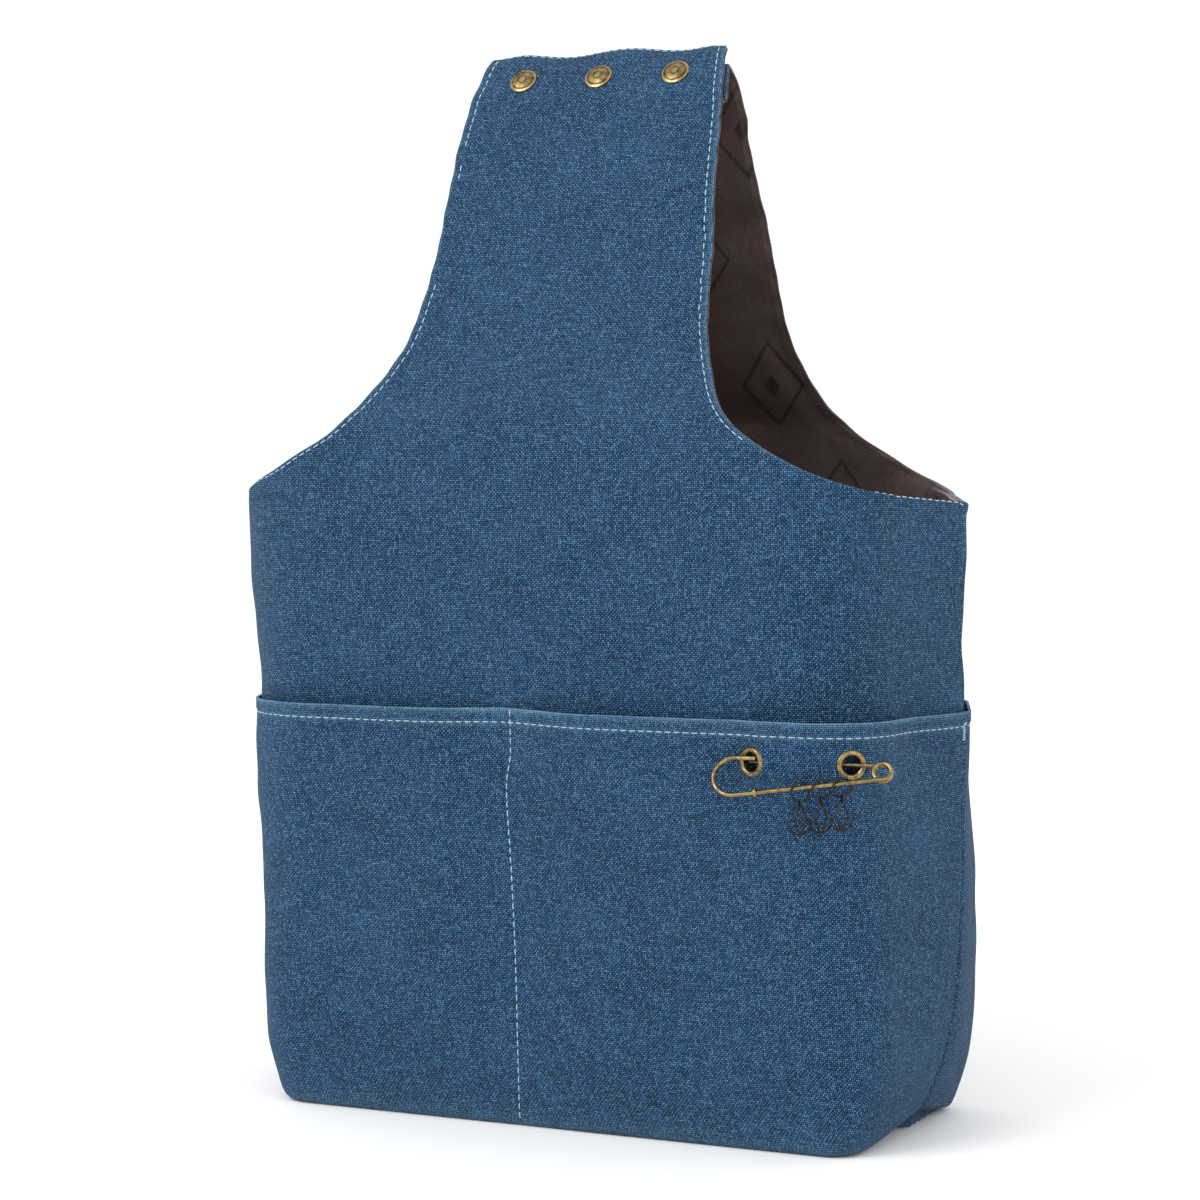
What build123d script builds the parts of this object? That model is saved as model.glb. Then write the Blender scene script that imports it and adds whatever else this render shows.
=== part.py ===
from build123d import *
import os
from math import asin, atan2, cos, degrees, hypot, radians, sin, tan

os.makedirs("parts", exist_ok=True)

# A wrist project bag. +Z is up, +X runs across the bag and the front faces -Y.
# The origin is the centre of the underside. All sizes are in millimetres.

# Bag sizes
mouth_half_width = 175.0
mouth_half_depth = 75.0
armhole_height = 272.0
strap_rise = 200.0
strap_half_width = 62.5
canvas = 1.2
layer_gap = 0.3
satin = 0.4
ridge_half_depth = 2.2
ridge_lean = 4.0
fold_drop = 42.0

# Each row is a share of armhole_height, of mouth_half_width and of mouth_half_depth, a corner radius,
# and the angle in degrees between the front and the wall that runs from the corner to the side seam.
body_rows = [
    (0.00, 0.800, 0.77, 15.0, 78.0),
    (0.02, 0.826, 0.80, 18.0, 78.0),
    (0.08, 0.868, 0.82, 21.0, 77.0),
    (0.17, 0.900, 0.84, 24.0, 75.0),
    (0.35, 0.932, 0.87, 30.0, 72.0),
    (0.61, 0.955, 0.915, 39.0, 70.0),
    (0.78, 0.972, 0.96, 44.0, 68.0),
    (1.00, 1.000, 1.00, 50.0, 66.0),
]
# Each row is a share of strap_rise above the armholes and a share of mouth_half_depth.
strap_rows = [
    (0.10, 0.99),
    (0.17, 0.96),
    (0.25, 0.83),
    (0.34, 0.69),
    (0.44, 0.585),
    (0.54, 0.49),
    (0.64, 0.42),
    (0.74, 0.333),
    (0.79, 0.288),
    (0.84, 0.245),
    (0.89, 0.210),
    (0.935, 0.145),
]

# Points on the armhole edge. The first rows are shares of mouth_half_width and of strap_rise,
# and the others are shares of strap_half_width and of strap_rise.
armhole_body_rows = [(0.77, 0.05), (0.57, 0.14)]
armhole_strap_rows = [(1.26, 0.26), (1.10, 0.40), (1.02, 0.64), (0.99, 0.82)]
strap_top_share = 0.90

# Strap lap and snaps
lap_gap = 4.6
lap_start_share = 0.62
lap_full_share = 0.80
tongue_drop = 28.0
flap_overhang = 4.0
snap_spacing = 37.0
snap_drop = 13.0
snap_tilt = 35.5
snap_cap_radius = 6.25
snap_cap_height = 2.0
snap_shank_radius = 1.7
snap_shank_clearance = 0.25
snap_base_radius = 5.0
stud_radius = 2.9
stud_clearance = 0.8

# Pockets
pocket_height = 183.0
pocket_stand_off = 6.5
pocket_side_gap = 0.3
pocket_foot = 1.5
divider_x = -16.0
divider_thickness = 0.8

# Eyelets in the front pocket
eyelet_drop = 17.0
eyelet_side_inset = 25.5
eyelet_spacing = 42.0
eyelet_turn = 28.0
pin_yaw = 7.8
eyelet_hole_radius = 4.0
eyelet_flange_radius = 6.25
eyelet_wall = 0.4
eyelet_clearance = 0.1
bulge_rise = 3.0
bulge_start = 16.0
bulge_foot_drop = 34.0
bulge_knee_drop = 14.0
bulge_knee_share = 0.35
bulge_left_share = 0.75
bulge_peak_share = 0.37
gathered_wall_share = 0.45

# Kilt pin, rings and stitch markers
pin_tilt = 33.0
pin_wire_radius = 0.9
needle_radius = 0.75
coil_radius = 3.6
coil_pitch = 2.1
coil_reach = 13.3
hook_radius = 8.6
hook_reach = 6.0
hook_tip_reach = 2.0
needle_tip_reach = 1.0
needle_taper = 5.0
collar_place = 3.9
collar_radius = 2.1
collar_width = 1.7
ring_radius = 3.9
ring_wire_radius = 0.45
ring_slack = 0.85
ring_first = 22.4
ring_spacing = 8.6
ring_yaw = -60.0
marker_wire_radius = 0.4
marker_eye_radius = 1.25
marker_half_width = 6.0
marker_drop = 12.0
marker_yaw = 48.0
marker_corner = 0.8

# Places worked out from the sizes above
total_height = armhole_height + strap_rise
fold_height = total_height - fold_drop
eyelet_height = pocket_height - eyelet_drop
lining_outer = canvas + layer_gap
lining_inner = lining_outer + satin
lap_inset = lining_inner + lap_gap

stations = [
    (armhole_height * share, mouth_half_width * width, mouth_half_depth * depth, corner, radians(wall_turn))
    for share, width, depth, corner, wall_turn in body_rows
]
mouth_corner = stations[-1][3]
mouth_turn = stations[-1][4]
strap_corner_share = 0.8
for rise, depth in strap_rows:
    strap_depth = mouth_half_depth * depth
    strap_corner = min(mouth_corner, strap_corner_share * strap_depth)
    strap_height = armhole_height + strap_rise * rise
    stations.append((strap_height, mouth_half_width, strap_depth, strap_corner, mouth_turn))
ridge_corner = strap_corner_share * ridge_half_depth
stations.append((total_height, mouth_half_width, ridge_half_depth, ridge_corner, mouth_turn))


def between(low, high, share):
    """Value at a share of the way from low to high."""
    return low + (high - low) * share


def station_at(height):
    """Half width, half depth, corner radius and wall angle of the bag at a height."""
    for lower, upper in zip(stations, stations[1:]):
        if height <= upper[0]:
            share = (height - lower[0]) / (upper[0] - lower[0])
            return [between(lower[i], upper[i], share) for i in (1, 2, 3, 4)]
    return list(stations[-1][1:])


def ridge_height(inset):
    """Height at which a layer set in by inset closes over the top."""
    for lower, upper in zip(stations, stations[1:]):
        if upper[2] <= ridge_half_depth + inset < lower[2]:
            share = (lower[2] - ridge_half_depth - inset) / (lower[2] - upper[2])
            return between(lower[0], upper[0], share)
    return stations[-1][0]


def lean_at(height):
    """How far the top of the straps leans back over the bag's middle."""
    return ridge_lean * max(0.0, height - fold_height) / fold_drop


def lap_at(height):
    """How far the back strap lies inside the bag's outline, so that it passes under the flap."""
    start = armhole_height + strap_rise * lap_start_share
    full = armhole_height + strap_rise * lap_full_share
    return lap_inset * min(1.0, max(0.0, (height - start) / (full - start)))


def corner_ends(half_width, half_depth, corner, wall_turn):
    """Where the right front corner of a level section leaves the front and where it meets the wall."""
    wall = (half_depth - corner * (1 - cos(wall_turn))) / sin(wall_turn)
    wall_end = Vector(half_width - wall * cos(wall_turn), -wall * sin(wall_turn))
    front_end = Vector(wall_end.X - corner * sin(wall_turn), -half_depth)
    return front_end, wall_end


def level_outline(half_width, half_depth, corner, wall_turn):
    """Draw a level section: flat front and back, rounded corners, and walls that meet at the side seams."""
    front_end, wall_end = corner_ends(half_width, half_depth, corner, wall_turn)
    flat, depth = front_end.X, half_depth
    wall_x, wall_y = wall_end.X, -wall_end.Y
    with BuildLine() as outline:
        Line((-flat, -depth), (flat, -depth))
        RadiusArc((flat, -depth), (wall_x, -wall_y), -corner)
        Polyline((wall_x, -wall_y), (half_width, 0), (wall_x, wall_y))
        RadiusArc((wall_x, wall_y), (flat, depth), -corner)
        Line((flat, depth), (-flat, depth))
        RadiusArc((-flat, depth), (-wall_x, wall_y), -corner)
        Polyline((-wall_x, wall_y), (-half_width, 0), (-wall_x, -wall_y))
        RadiusArc((-wall_x, -wall_y), (-flat, -depth), -corner)
    return outline.edges()


def loft_layer(inset, mode, lapped=False):
    """Loft the solid bounded by the layer that lies inset inside the bag's outline."""
    ridge = ridge_height(inset + (lap_inset if lapped else 0.0))
    heights = [max(row[0], inset) for row in stations if row[0] < ridge - 1.0] + [ridge]
    sections = []
    for height in heights:
        half_width, half_depth, corner, wall_turn = station_at(height)
        shift = inset + (lap_at(height) if lapped else 0.0)
        layer_width = half_width - inset / sin(wall_turn)
        layer_depth = max(half_depth - shift, ridge_half_depth)
        layer_corner = min(max(corner - shift, 1.0), strap_corner_share * layer_depth)
        with BuildSketch(Plane((0, lean_at(height), height))) as section:
            make_face(level_outline(layer_width, layer_depth, layer_corner, wall_turn))
        sections.append(section.sketch.face())
    loft(sections, ruled=True, mode=mode)


def cut_armholes():
    """Cut the two armholes, which leave the strap between them."""
    top = total_height + 5
    corner = (mouth_half_width + 5, armhole_height - 0.5)
    strap_top = (strap_top_share * strap_half_width, top)
    curve = [(mouth_half_width * width, armhole_height + strap_rise * rise) for width, rise in armhole_body_rows]
    curve += [(strap_half_width * width, armhole_height + strap_rise * rise) for width, rise in armhole_strap_rows]
    with BuildSketch(Plane.XZ) as armholes:
        with BuildLine():
            Spline(corner, *curve, strap_top)
            Polyline(strap_top, (corner[0], top), corner)
        make_face()
        mirror(about=Plane.YZ)
    extrude(armholes.sketch, amount=2 * mouth_half_depth, both=True, mode=Mode.SUBTRACT)


def keep_region(*boxes):
    """Keep only what lies in the given boxes, each a low Y, high Y, low Z and high Z."""
    with BuildSketch(Plane.YZ.offset(-2 * mouth_half_width)) as region:
        for low_y, high_y, low_z, high_z in boxes:
            with Locations(((low_y + high_y) / 2, (low_z + high_z) / 2)):
                Rectangle(high_y - low_y, high_z - low_z)
    extrude(region.sketch, amount=4 * mouth_half_width, mode=Mode.INTERSECT)


def finish_part(piece, label):
    """Name a finished piece and write its file."""
    piece.part.label = label
    export_step(piece.part, "parts/" + label + ".step")


# Snap stack: one axis through the flap and the strap end under it
snap_height = total_height - snap_drop
snap_depth = station_at(snap_height)[1] - lean_at(snap_height)
snap_axis = Vector(0, -cos(radians(snap_tilt)), sin(radians(snap_tilt)))
snap_centres = [Vector(x, -snap_depth, snap_height) for x in (-snap_spacing, 0, snap_spacing)]
stack_scale = cos(radians(snap_tilt))
flap_stack = lining_inner * stack_scale
lap_level = lap_inset * stack_scale
back_stack = (lap_inset + lining_inner) * stack_scale


def lathe_plane(origin, axis, radial):
    """Plane whose local X runs out from an axis and whose local Y runs along it."""
    return Plane(origin=origin, x_dir=radial, z_dir=Vector(radial).cross(axis))


def cut_snap_holes(radius, low, high):
    """Cut the snap holes through one layer, from level low to level high along the snap axis."""
    for centre in snap_centres:
        with BuildSketch(Plane(origin=centre + snap_axis * low, x_dir=(1, 0, 0), z_dir=snap_axis)) as hole:
            Circle(radius)
        extrude(hole.sketch, amount=high - low, mode=Mode.SUBTRACT)


shank_hole = snap_shank_radius + snap_shank_clearance
front_side = (-2 * mouth_half_depth, 0, -1, fold_height)
flap_side = (-2 * mouth_half_depth, flap_overhang, fold_height, total_height + 1)
tongue_height = total_height - tongue_drop
back_side = (0, 2 * mouth_half_depth, -1, total_height + 1)
tongue_side = (-2 * mouth_half_depth, 1, tongue_height, total_height + 1)

with BuildPart() as front_panel:
    loft_layer(0, Mode.ADD)
    loft_layer(canvas, Mode.SUBTRACT)
    keep_region(front_side)
    cut_armholes()
finish_part(front_panel, "front_panel")

with BuildPart() as front_lining:
    loft_layer(lining_outer, Mode.ADD)
    loft_layer(lining_inner, Mode.SUBTRACT)
    keep_region(front_side)
    cut_armholes()
finish_part(front_lining, "front_lining")

with BuildPart() as front_strap_end:
    loft_layer(0, Mode.ADD)
    loft_layer(canvas, Mode.SUBTRACT)
    keep_region(flap_side)
    cut_armholes()
    cut_snap_holes(shank_hole, -flap_stack, snap_cap_height)
finish_part(front_strap_end, "front_strap_end")

with BuildPart() as front_strap_end_lining:
    loft_layer(lining_outer, Mode.ADD)
    loft_layer(lining_inner, Mode.SUBTRACT)
    keep_region(flap_side)
    cut_armholes()
    cut_snap_holes(shank_hole, -flap_stack - 1, snap_cap_height)
finish_part(front_strap_end_lining, "front_strap_end_lining")

with BuildPart() as back_panel:
    loft_layer(0, Mode.ADD, lapped=True)
    loft_layer(canvas, Mode.SUBTRACT, lapped=True)
    keep_region(back_side, tongue_side)
    cut_armholes()
    cut_snap_holes(shank_hole, -back_stack - 1, -lap_level + 2)
finish_part(back_panel, "back_panel")

with BuildPart() as back_lining:
    loft_layer(lining_outer, Mode.ADD, lapped=True)
    loft_layer(lining_inner, Mode.SUBTRACT, lapped=True)
    keep_region(back_side, tongue_side)
    cut_armholes()
    cut_snap_holes(shank_hole, -back_stack - 1, -lap_level + 2)
finish_part(back_lining, "back_lining")

# Snap pieces, each turned about its own snap axis. Levels run along the axis, 0 at the outer canvas.
plate_thickness = 0.4
touch_gap = 0.05
socket_top = -flap_stack - plate_thickness
socket_height = 1.9
socket_roof = 0.5
shank_end = socket_top - 0.3
stud_foot = -lap_level + touch_gap
stud_base_top = stud_foot + 0.6
stud_head_height = 2.0
stud_head_bevel = 0.55
stud_neck_share = 0.8
stud_crown_share = 0.85
post_top = -back_stack - 0.7
post_thickness = 0.7
cap_foot = 0.1
cap_rim = 0.7
dome_radius = (snap_cap_radius**2 + (snap_cap_height - cap_rim) ** 2) / (2 * (snap_cap_height - cap_rim))
dome_mid = (dome_radius**2 - snap_cap_radius**2 / 4) ** 0.5


def turned_snap_piece(centre, outline):
    """Revolve an outline of radius and level pairs about the snap axis at centre."""
    with BuildSketch(lathe_plane(centre, snap_axis, (1, 0, 0))) as half_section:
        with BuildLine():
            Polyline(*outline, close=True)
        make_face()
    revolve(half_section.sketch, axis=Axis(centre, snap_axis))


for number, centre in enumerate(snap_centres, start=1):
    with BuildPart() as snap_cap:
        with BuildSketch(lathe_plane(centre, snap_axis, (1, 0, 0))):
            with BuildLine():
                Polyline(
                    (0, snap_cap_height),
                    (0, shank_end),
                    (snap_shank_radius, shank_end),
                    (snap_shank_radius, cap_foot),
                    (snap_cap_radius, cap_foot),
                    (snap_cap_radius, cap_rim),
                )
                ThreePointArc(
                    (snap_cap_radius, cap_rim),
                    (snap_cap_radius / 2, snap_cap_height - dome_radius + dome_mid),
                    (0, snap_cap_height),
                )
            make_face()
        revolve(axis=Axis(centre, snap_axis))
    finish_part(snap_cap, f"snap_cap_{number}")

    with BuildPart() as snap_socket:
        socket_foot = socket_top - socket_height
        recess = stud_radius + stud_clearance
        turned_snap_piece(
            centre,
            [
                (snap_shank_radius, socket_top),
                (snap_base_radius, socket_top),
                (snap_base_radius, socket_foot),
                (recess, socket_foot),
                (recess, socket_top - socket_roof),
                (snap_shank_radius, socket_top - socket_roof),
            ],
        )
    finish_part(snap_socket, f"snap_socket_{number}")

    with BuildPart() as snap_stud:
        stud_crown = stud_base_top + stud_head_height - stud_head_bevel
        turned_snap_piece(
            centre,
            [
                (0, stud_crown),
                (0, stud_foot),
                (snap_base_radius, stud_foot),
                (snap_base_radius, stud_foot + plate_thickness),
                (stud_neck_share * stud_radius, stud_base_top),
                (stud_radius, stud_base_top + stud_head_bevel - touch_gap),
                (stud_crown_share * stud_radius, stud_crown),
            ],
        )
    finish_part(snap_stud, f"snap_stud_{number}")

    with BuildPart() as snap_post:
        turned_snap_piece(
            centre,
            [
                (0, stud_foot),
                (snap_shank_radius, stud_foot),
                (snap_shank_radius, post_top),
                (snap_base_radius, post_top),
                (snap_base_radius, post_top - post_thickness),
                (0, post_top - post_thickness),
            ],
        )
    finish_part(snap_post, f"snap_post_{number}")

# Pockets. Each is a loft of level sections that stand further off the panel towards the mouth.
pinned_half_width = station_at(eyelet_height)[0] + canvas
eyelet_left_x = pinned_half_width - eyelet_side_inset - eyelet_spacing * cos(radians(pin_yaw))


def pocket_depth(height):
    """Half depth of the outside of a pocket at a height."""
    stand_off = layer_gap + pocket_stand_off * height / pocket_height
    return station_at(height)[1] + canvas + stand_off


front_face_y = -pocket_depth(eyelet_height)
needle_direction = Vector(cos(radians(pin_yaw)), sin(radians(pin_yaw)), 0)
left_turn = radians(pin_yaw - eyelet_turn)
right_turn = radians(pin_yaw + eyelet_turn)
left_axis = Vector(sin(left_turn), -cos(left_turn), 0)
right_axis = Vector(sin(right_turn), -cos(right_turn), 0)
left_eyelet = Vector(eyelet_left_x, front_face_y - bulge_left_share * bulge_rise, eyelet_height)
right_eyelet = left_eyelet + needle_direction * eyelet_spacing
pocket_rows = [pocket_foot] + [row[0] for row in stations if pocket_foot < row[0] < pocket_height]
bulge_foot = eyelet_height - bulge_foot_drop
bulge_knee = eyelet_height - bulge_knee_drop


def bulge_at(height):
    """Share of the bulge that the pin gathers in the front pocket at a height."""
    if height <= bulge_knee:
        return bulge_knee_share * max(0.0, height - bulge_foot) / (bulge_knee - bulge_foot)
    full_share = (height - bulge_knee) / (eyelet_height - 2 - bulge_knee)
    return min(1.0, between(bulge_knee_share, 1.0, full_share))


def pocket_corner(height, inset):
    """Half width, half depth, corner radius and wall angle of a pocket's plain section."""
    half_width, _, corner, wall_turn = station_at(height)
    side = half_width + (canvas + pocket_side_gap - inset) / sin(wall_turn)
    return side, pocket_depth(height) - inset, corner + canvas - inset, wall_turn


def pocket_outline(height, bulge, inset):
    """Draw one level section of the front pocket, closed along the side seam line."""
    side, depth, radius, wall_turn = pocket_corner(height, inset)
    front_end, wall_end = corner_ends(side, depth, radius, wall_turn)
    curve_start = eyelet_left_x - bulge_start
    peak_x = between(front_end.X, eyelet_left_x + bulge_peak_share * eyelet_spacing, bulge)
    left_rise = (bulge_left_share * bulge_rise + inset * (1 - cos(left_turn))) * bulge
    left_point = (eyelet_left_x + inset * sin(-left_turn) * bulge, -depth - left_rise)
    middle_turn = wall_turn / 2
    plain_shoulder = Vector(front_end.X + radius * sin(middle_turn), -depth + radius * (1 - cos(middle_turn)))
    eyelet_shoulder = Vector(
        right_eyelet.X - inset * sin(right_turn),
        right_eyelet.Y + pocket_depth(eyelet_height) - pocket_depth(height) + inset * cos(right_turn),
    )
    shoulder = plain_shoulder * (1 - bulge) + eyelet_shoulder * bulge
    shoulder_turn = between(middle_turn, right_turn, bulge)
    gathered_wall = gathered_wall_share * depth / sin(wall_turn)
    gathered_end = Vector(side - gathered_wall * cos(wall_turn), -gathered_wall * sin(wall_turn))
    wall_start = wall_end * (1 - bulge) + gathered_end * bulge
    with BuildLine() as outline:
        Line((-side, 0), (-wall_end.X, wall_end.Y))
        RadiusArc((-wall_end.X, wall_end.Y), (-front_end.X, -depth), -radius)
        Line((-front_end.X, -depth), (curve_start, -depth))
        Spline(
            (curve_start, -depth),
            left_point,
            (peak_x, -depth - bulge_rise * bulge),
            (shoulder.X, shoulder.Y),
            (wall_start.X, wall_start.Y),
            tangents=[
                (1, 0),
                (cos(left_turn * bulge), sin(left_turn * bulge)),
                (1, 0),
                (cos(shoulder_turn), sin(shoulder_turn)),
                (cos(wall_turn), sin(wall_turn)),
            ],
        )
        Line((wall_start.X, wall_start.Y), (side, 0))
        Line((side, 0), (-side, 0))
    return outline.edges()


def loft_pocket(inset, mode):
    """Loft the solid bounded by the pocket layer that lies inset inside its outside."""
    sections = []
    for height in sorted(pocket_rows + [bulge_foot, bulge_knee, pocket_height]):
        with BuildSketch(Plane.XY.offset(height)) as section:
            make_face(pocket_outline(height, bulge_at(height), inset))
        sections.append(section.sketch.face())
    loft(sections, ruled=True, mode=mode)


def cut_eyelet_seats():
    """Cut the two eyelet holes and press the cloth flat under each flange and washer."""
    hole_radius = eyelet_hole_radius + eyelet_wall + eyelet_clearance
    seat_radius = eyelet_flange_radius + eyelet_clearance
    for centre, axis in ((left_eyelet, left_axis), (right_eyelet, right_axis)):
        for level, radius, length in ((-4, hole_radius, 8), (0, seat_radius, 3), (-canvas - 3, seat_radius, 3)):
            with BuildSketch(Plane(origin=centre + axis * level, x_dir=(0, 0, 1), z_dir=axis)) as seat:
                Circle(radius)
            extrude(seat.sketch, amount=length, mode=Mode.SUBTRACT)


with BuildPart() as front_pocket:
    loft_pocket(0, Mode.ADD)
    loft_pocket(canvas, Mode.SUBTRACT)
    cut_eyelet_seats()
    divider_rows = pocket_rows + [pocket_height]
    panel_side = [(-station_at(height)[1] - layer_gap, height) for height in divider_rows]
    pocket_side = [(-pocket_depth(height) + canvas / 2, height) for height in reversed(divider_rows)]
    with BuildSketch(Plane.YZ.offset(divider_x)):
        with BuildLine():
            Polyline(*panel_side, *pocket_side, close=True)
        make_face()
    extrude(amount=divider_thickness / 2, both=True)
finish_part(front_pocket, "front_pocket")


def loft_back_pocket(inset, mode):
    """Loft the solid bounded by the plain pocket layer at inset, mirrored front to back."""
    sections = []
    for height in pocket_rows + [pocket_height]:
        with BuildSketch(Plane.XY.offset(height)) as section:
            make_face(level_outline(*pocket_corner(height, inset)))
        sections.append(section.sketch.face())
    loft(sections, ruled=True, mode=mode)


with BuildPart() as back_pocket:
    loft_back_pocket(0, Mode.ADD)
    loft_back_pocket(canvas, Mode.SUBTRACT)
    keep_region((0, 2 * mouth_half_depth, -1, total_height))
finish_part(back_pocket, "back_pocket")

# Eyelets: a flanged barrel from the front and a washer behind the canvas
for side_name, centre, axis in (
    ("left", left_eyelet, left_axis),
    ("right", right_eyelet, right_axis),
):
    barrel_outer = eyelet_hole_radius + eyelet_wall
    barrel_end = -canvas - 0.5
    washer_edge = 0.25
    lip_level = 0.4
    flange_crown = 0.95
    with BuildPart() as eyelet:
        with BuildSketch(lathe_plane(centre, axis, (0, 0, 1))):
            with BuildLine():
                Polyline(
                    (eyelet_hole_radius, lip_level),
                    (eyelet_hole_radius, barrel_end),
                    (barrel_outer, barrel_end),
                    (barrel_outer, touch_gap),
                    (eyelet_flange_radius, touch_gap),
                )
                ThreePointArc(
                    (eyelet_flange_radius, touch_gap),
                    ((eyelet_hole_radius + eyelet_flange_radius) / 2, flange_crown),
                    (eyelet_hole_radius, lip_level),
                )
            make_face()
        revolve(axis=Axis(centre, axis))
    finish_part(eyelet, "eyelet_" + side_name)

    with BuildPart() as eyelet_washer:
        washer_inner = barrel_outer + touch_gap
        washer_top = -canvas - touch_gap
        with BuildSketch(lathe_plane(centre, axis, (0, 0, 1))):
            with BuildLine():
                Polyline(
                    (washer_inner, washer_top),
                    (eyelet_flange_radius, washer_top),
                    (eyelet_flange_radius, washer_top - washer_edge),
                    (washer_inner, washer_top - plate_thickness),
                    close=True,
                )
            make_face()
        revolve(axis=Axis(centre, axis))
    finish_part(eyelet_washer, "eyelet_washer_" + side_name)

# Kilt pin. Its plane holds the needle, which runs through both eyelets, and leans out from the pocket.
forward = Vector(sin(radians(pin_yaw)), -cos(radians(pin_yaw)), 0)
pin_normal = forward * cos(radians(pin_tilt)) + Vector(0, 0, 1) * sin(radians(pin_tilt))
needle_start = left_eyelet - forward * (canvas / 2)
needle_plane = Plane(origin=needle_start, x_dir=needle_direction, z_dir=pin_normal)
frame_plane = needle_plane.offset(coil_pitch)
coil_centre = (eyelet_spacing + coil_reach, -coil_radius)
hook_centre = (-hook_reach, -hook_radius + 0.6)
run_x = coil_centre[0] - hook_centre[0]
run_y = coil_centre[1] - hook_centre[1]
run_length = hypot(run_x, run_y)
arm_rise = atan2(run_y, run_x) + asin((hook_radius - coil_radius) / run_length)
arm_start = (
    hook_centre[0] + hook_radius * sin(arm_rise),
    hook_centre[1] - hook_radius * cos(arm_rise),
)
arm_end = (
    coil_centre[0] + coil_radius * sin(arm_rise),
    coil_centre[1] - coil_radius * cos(arm_rise),
)
coil_turn = 315.0

with BuildPart() as pin_frame:
    with BuildLine(frame_plane) as frame_path:
        Line((hook_tip_reach, hook_centre[1] + hook_radius), (hook_centre[0], hook_centre[1] + hook_radius))
        CenterArc(hook_centre, hook_radius, 90, 180 + degrees(arm_rise))
        Line(arm_start, arm_end)
        CenterArc(coil_centre, coil_radius, 270 + degrees(arm_rise), coil_turn)
    with BuildSketch(Plane(origin=frame_path.line @ 0, z_dir=frame_path.line % 0)):
        Circle(pin_wire_radius)
    sweep(path=frame_path.line)
finish_part(pin_frame, "pin_frame")


def arm_point(reach):
    """Point on the arm's centre line at a reach along the needle from the left eyelet."""
    level = arm_start[1] + (reach - arm_start[0]) * tan(arm_rise)
    return frame_plane.from_local_coords(Vector(reach, level, 0))


arm_direction = (arm_point(1) - arm_point(0)).normalized()

with BuildPart() as pin_collar:
    collar_centre = arm_point(collar_place)
    with BuildSketch(Plane(origin=collar_centre - arm_direction * collar_width / 2, z_dir=arm_direction)):
        Circle(collar_radius)
        Circle(pin_wire_radius, mode=Mode.SUBTRACT)
    extrude(amount=collar_width)
    fillet(pin_collar.edges().filter_by(GeomType.CIRCLE).sort_by(SortBy.RADIUS)[-2:], 0.7)
finish_part(pin_collar, "pin_collar")

with BuildPart() as pin_needle:
    taper_end = needle_taper - needle_tip_reach
    with BuildLine(needle_plane) as needle_path:
        Line((taper_end, 0), (coil_centre[0], 0))
        CenterArc(coil_centre, coil_radius, 90, -coil_turn)
    with BuildSketch(Plane(origin=needle_path.line @ 0, z_dir=needle_direction)):
        Circle(needle_radius)
    sweep(path=needle_path.line)
    with BuildSketch(Plane(origin=needle_path.line @ 0, z_dir=needle_direction)):
        Circle(needle_radius)
    with BuildSketch(Plane(origin=needle_start - needle_direction * needle_tip_reach, z_dir=needle_direction)):
        Circle(0.15)
    loft()
finish_part(pin_needle, "pin_needle")

# Jump rings hang on the arm, turned so that the arm passes through them at a slant
ring_angle = radians(pin_yaw + ring_yaw)
ring_axis = Vector(cos(ring_angle), sin(ring_angle), 0)
ring_across = Vector(-sin(ring_angle), cos(ring_angle), 0)
ring_hang = ring_radius - ring_wire_radius - pin_wire_radius - ring_slack
marker_angle = radians(pin_yaw + marker_yaw)
marker_across = Vector(cos(marker_angle), sin(marker_angle), 0)
marker_normal = Vector(sin(marker_angle), -cos(marker_angle), 0)
eye_slack = marker_eye_radius - marker_wire_radius - ring_wire_radius - 0.1

for number in (1, 2, 3):
    ring_centre = arm_point(ring_first + ring_spacing * (number - 1)) - Vector(0, 0, ring_hang)
    with BuildPart() as jump_ring:
        with BuildSketch(Plane(origin=ring_centre, x_dir=(0, 0, 1), z_dir=ring_across)):
            with Locations((ring_radius, 0)):
                Circle(ring_wire_radius)
        revolve(axis=Axis(ring_centre, ring_axis), revolution_arc=352)
    finish_part(jump_ring, f"jump_ring_{number}")

    ring_foot = ring_centre - Vector(0, 0, ring_radius)
    eye_centre = ring_foot - Vector(0, 0, eye_slack)
    neck = eye_centre - Vector(0, 0, marker_eye_radius)
    marker_plane = Plane(origin=neck, x_dir=marker_across, z_dir=marker_normal)
    with BuildPart() as stitch_marker:
        with BuildSketch(Plane(origin=eye_centre, x_dir=(0, 0, 1), z_dir=ring_axis)):
            with Locations((marker_eye_radius, 0)):
                Circle(marker_wire_radius)
        revolve(axis=Axis(eye_centre, ring_across))
        with BuildLine(marker_plane) as diamond_path:
            FilletPolyline(
                (0, marker_corner),
                (-0.5 * marker_half_width, -0.45 * marker_drop),
                (0, -marker_drop - marker_corner),
                (0.5 * marker_half_width, -0.45 * marker_drop),
                radius=marker_corner,
                close=True,
            )
        with BuildSketch(Plane(origin=diamond_path.line @ 0, z_dir=diamond_path.line % 0)):
            Circle(marker_wire_radius)
        sweep(path=diamond_path.line)
        with BuildLine(marker_plane) as bowl_path:
            ThreePointArc(
                (-marker_half_width, -0.5 * marker_drop),
                (0, -marker_drop),
                (marker_half_width, -0.5 * marker_drop),
            )
        with BuildSketch(Plane(origin=bowl_path.line @ 0, z_dir=bowl_path.line % 0)):
            Circle(marker_wire_radius)
        sweep(path=bowl_path.line)
    finish_part(stitch_marker, f"stitch_marker_{number}")

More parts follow.
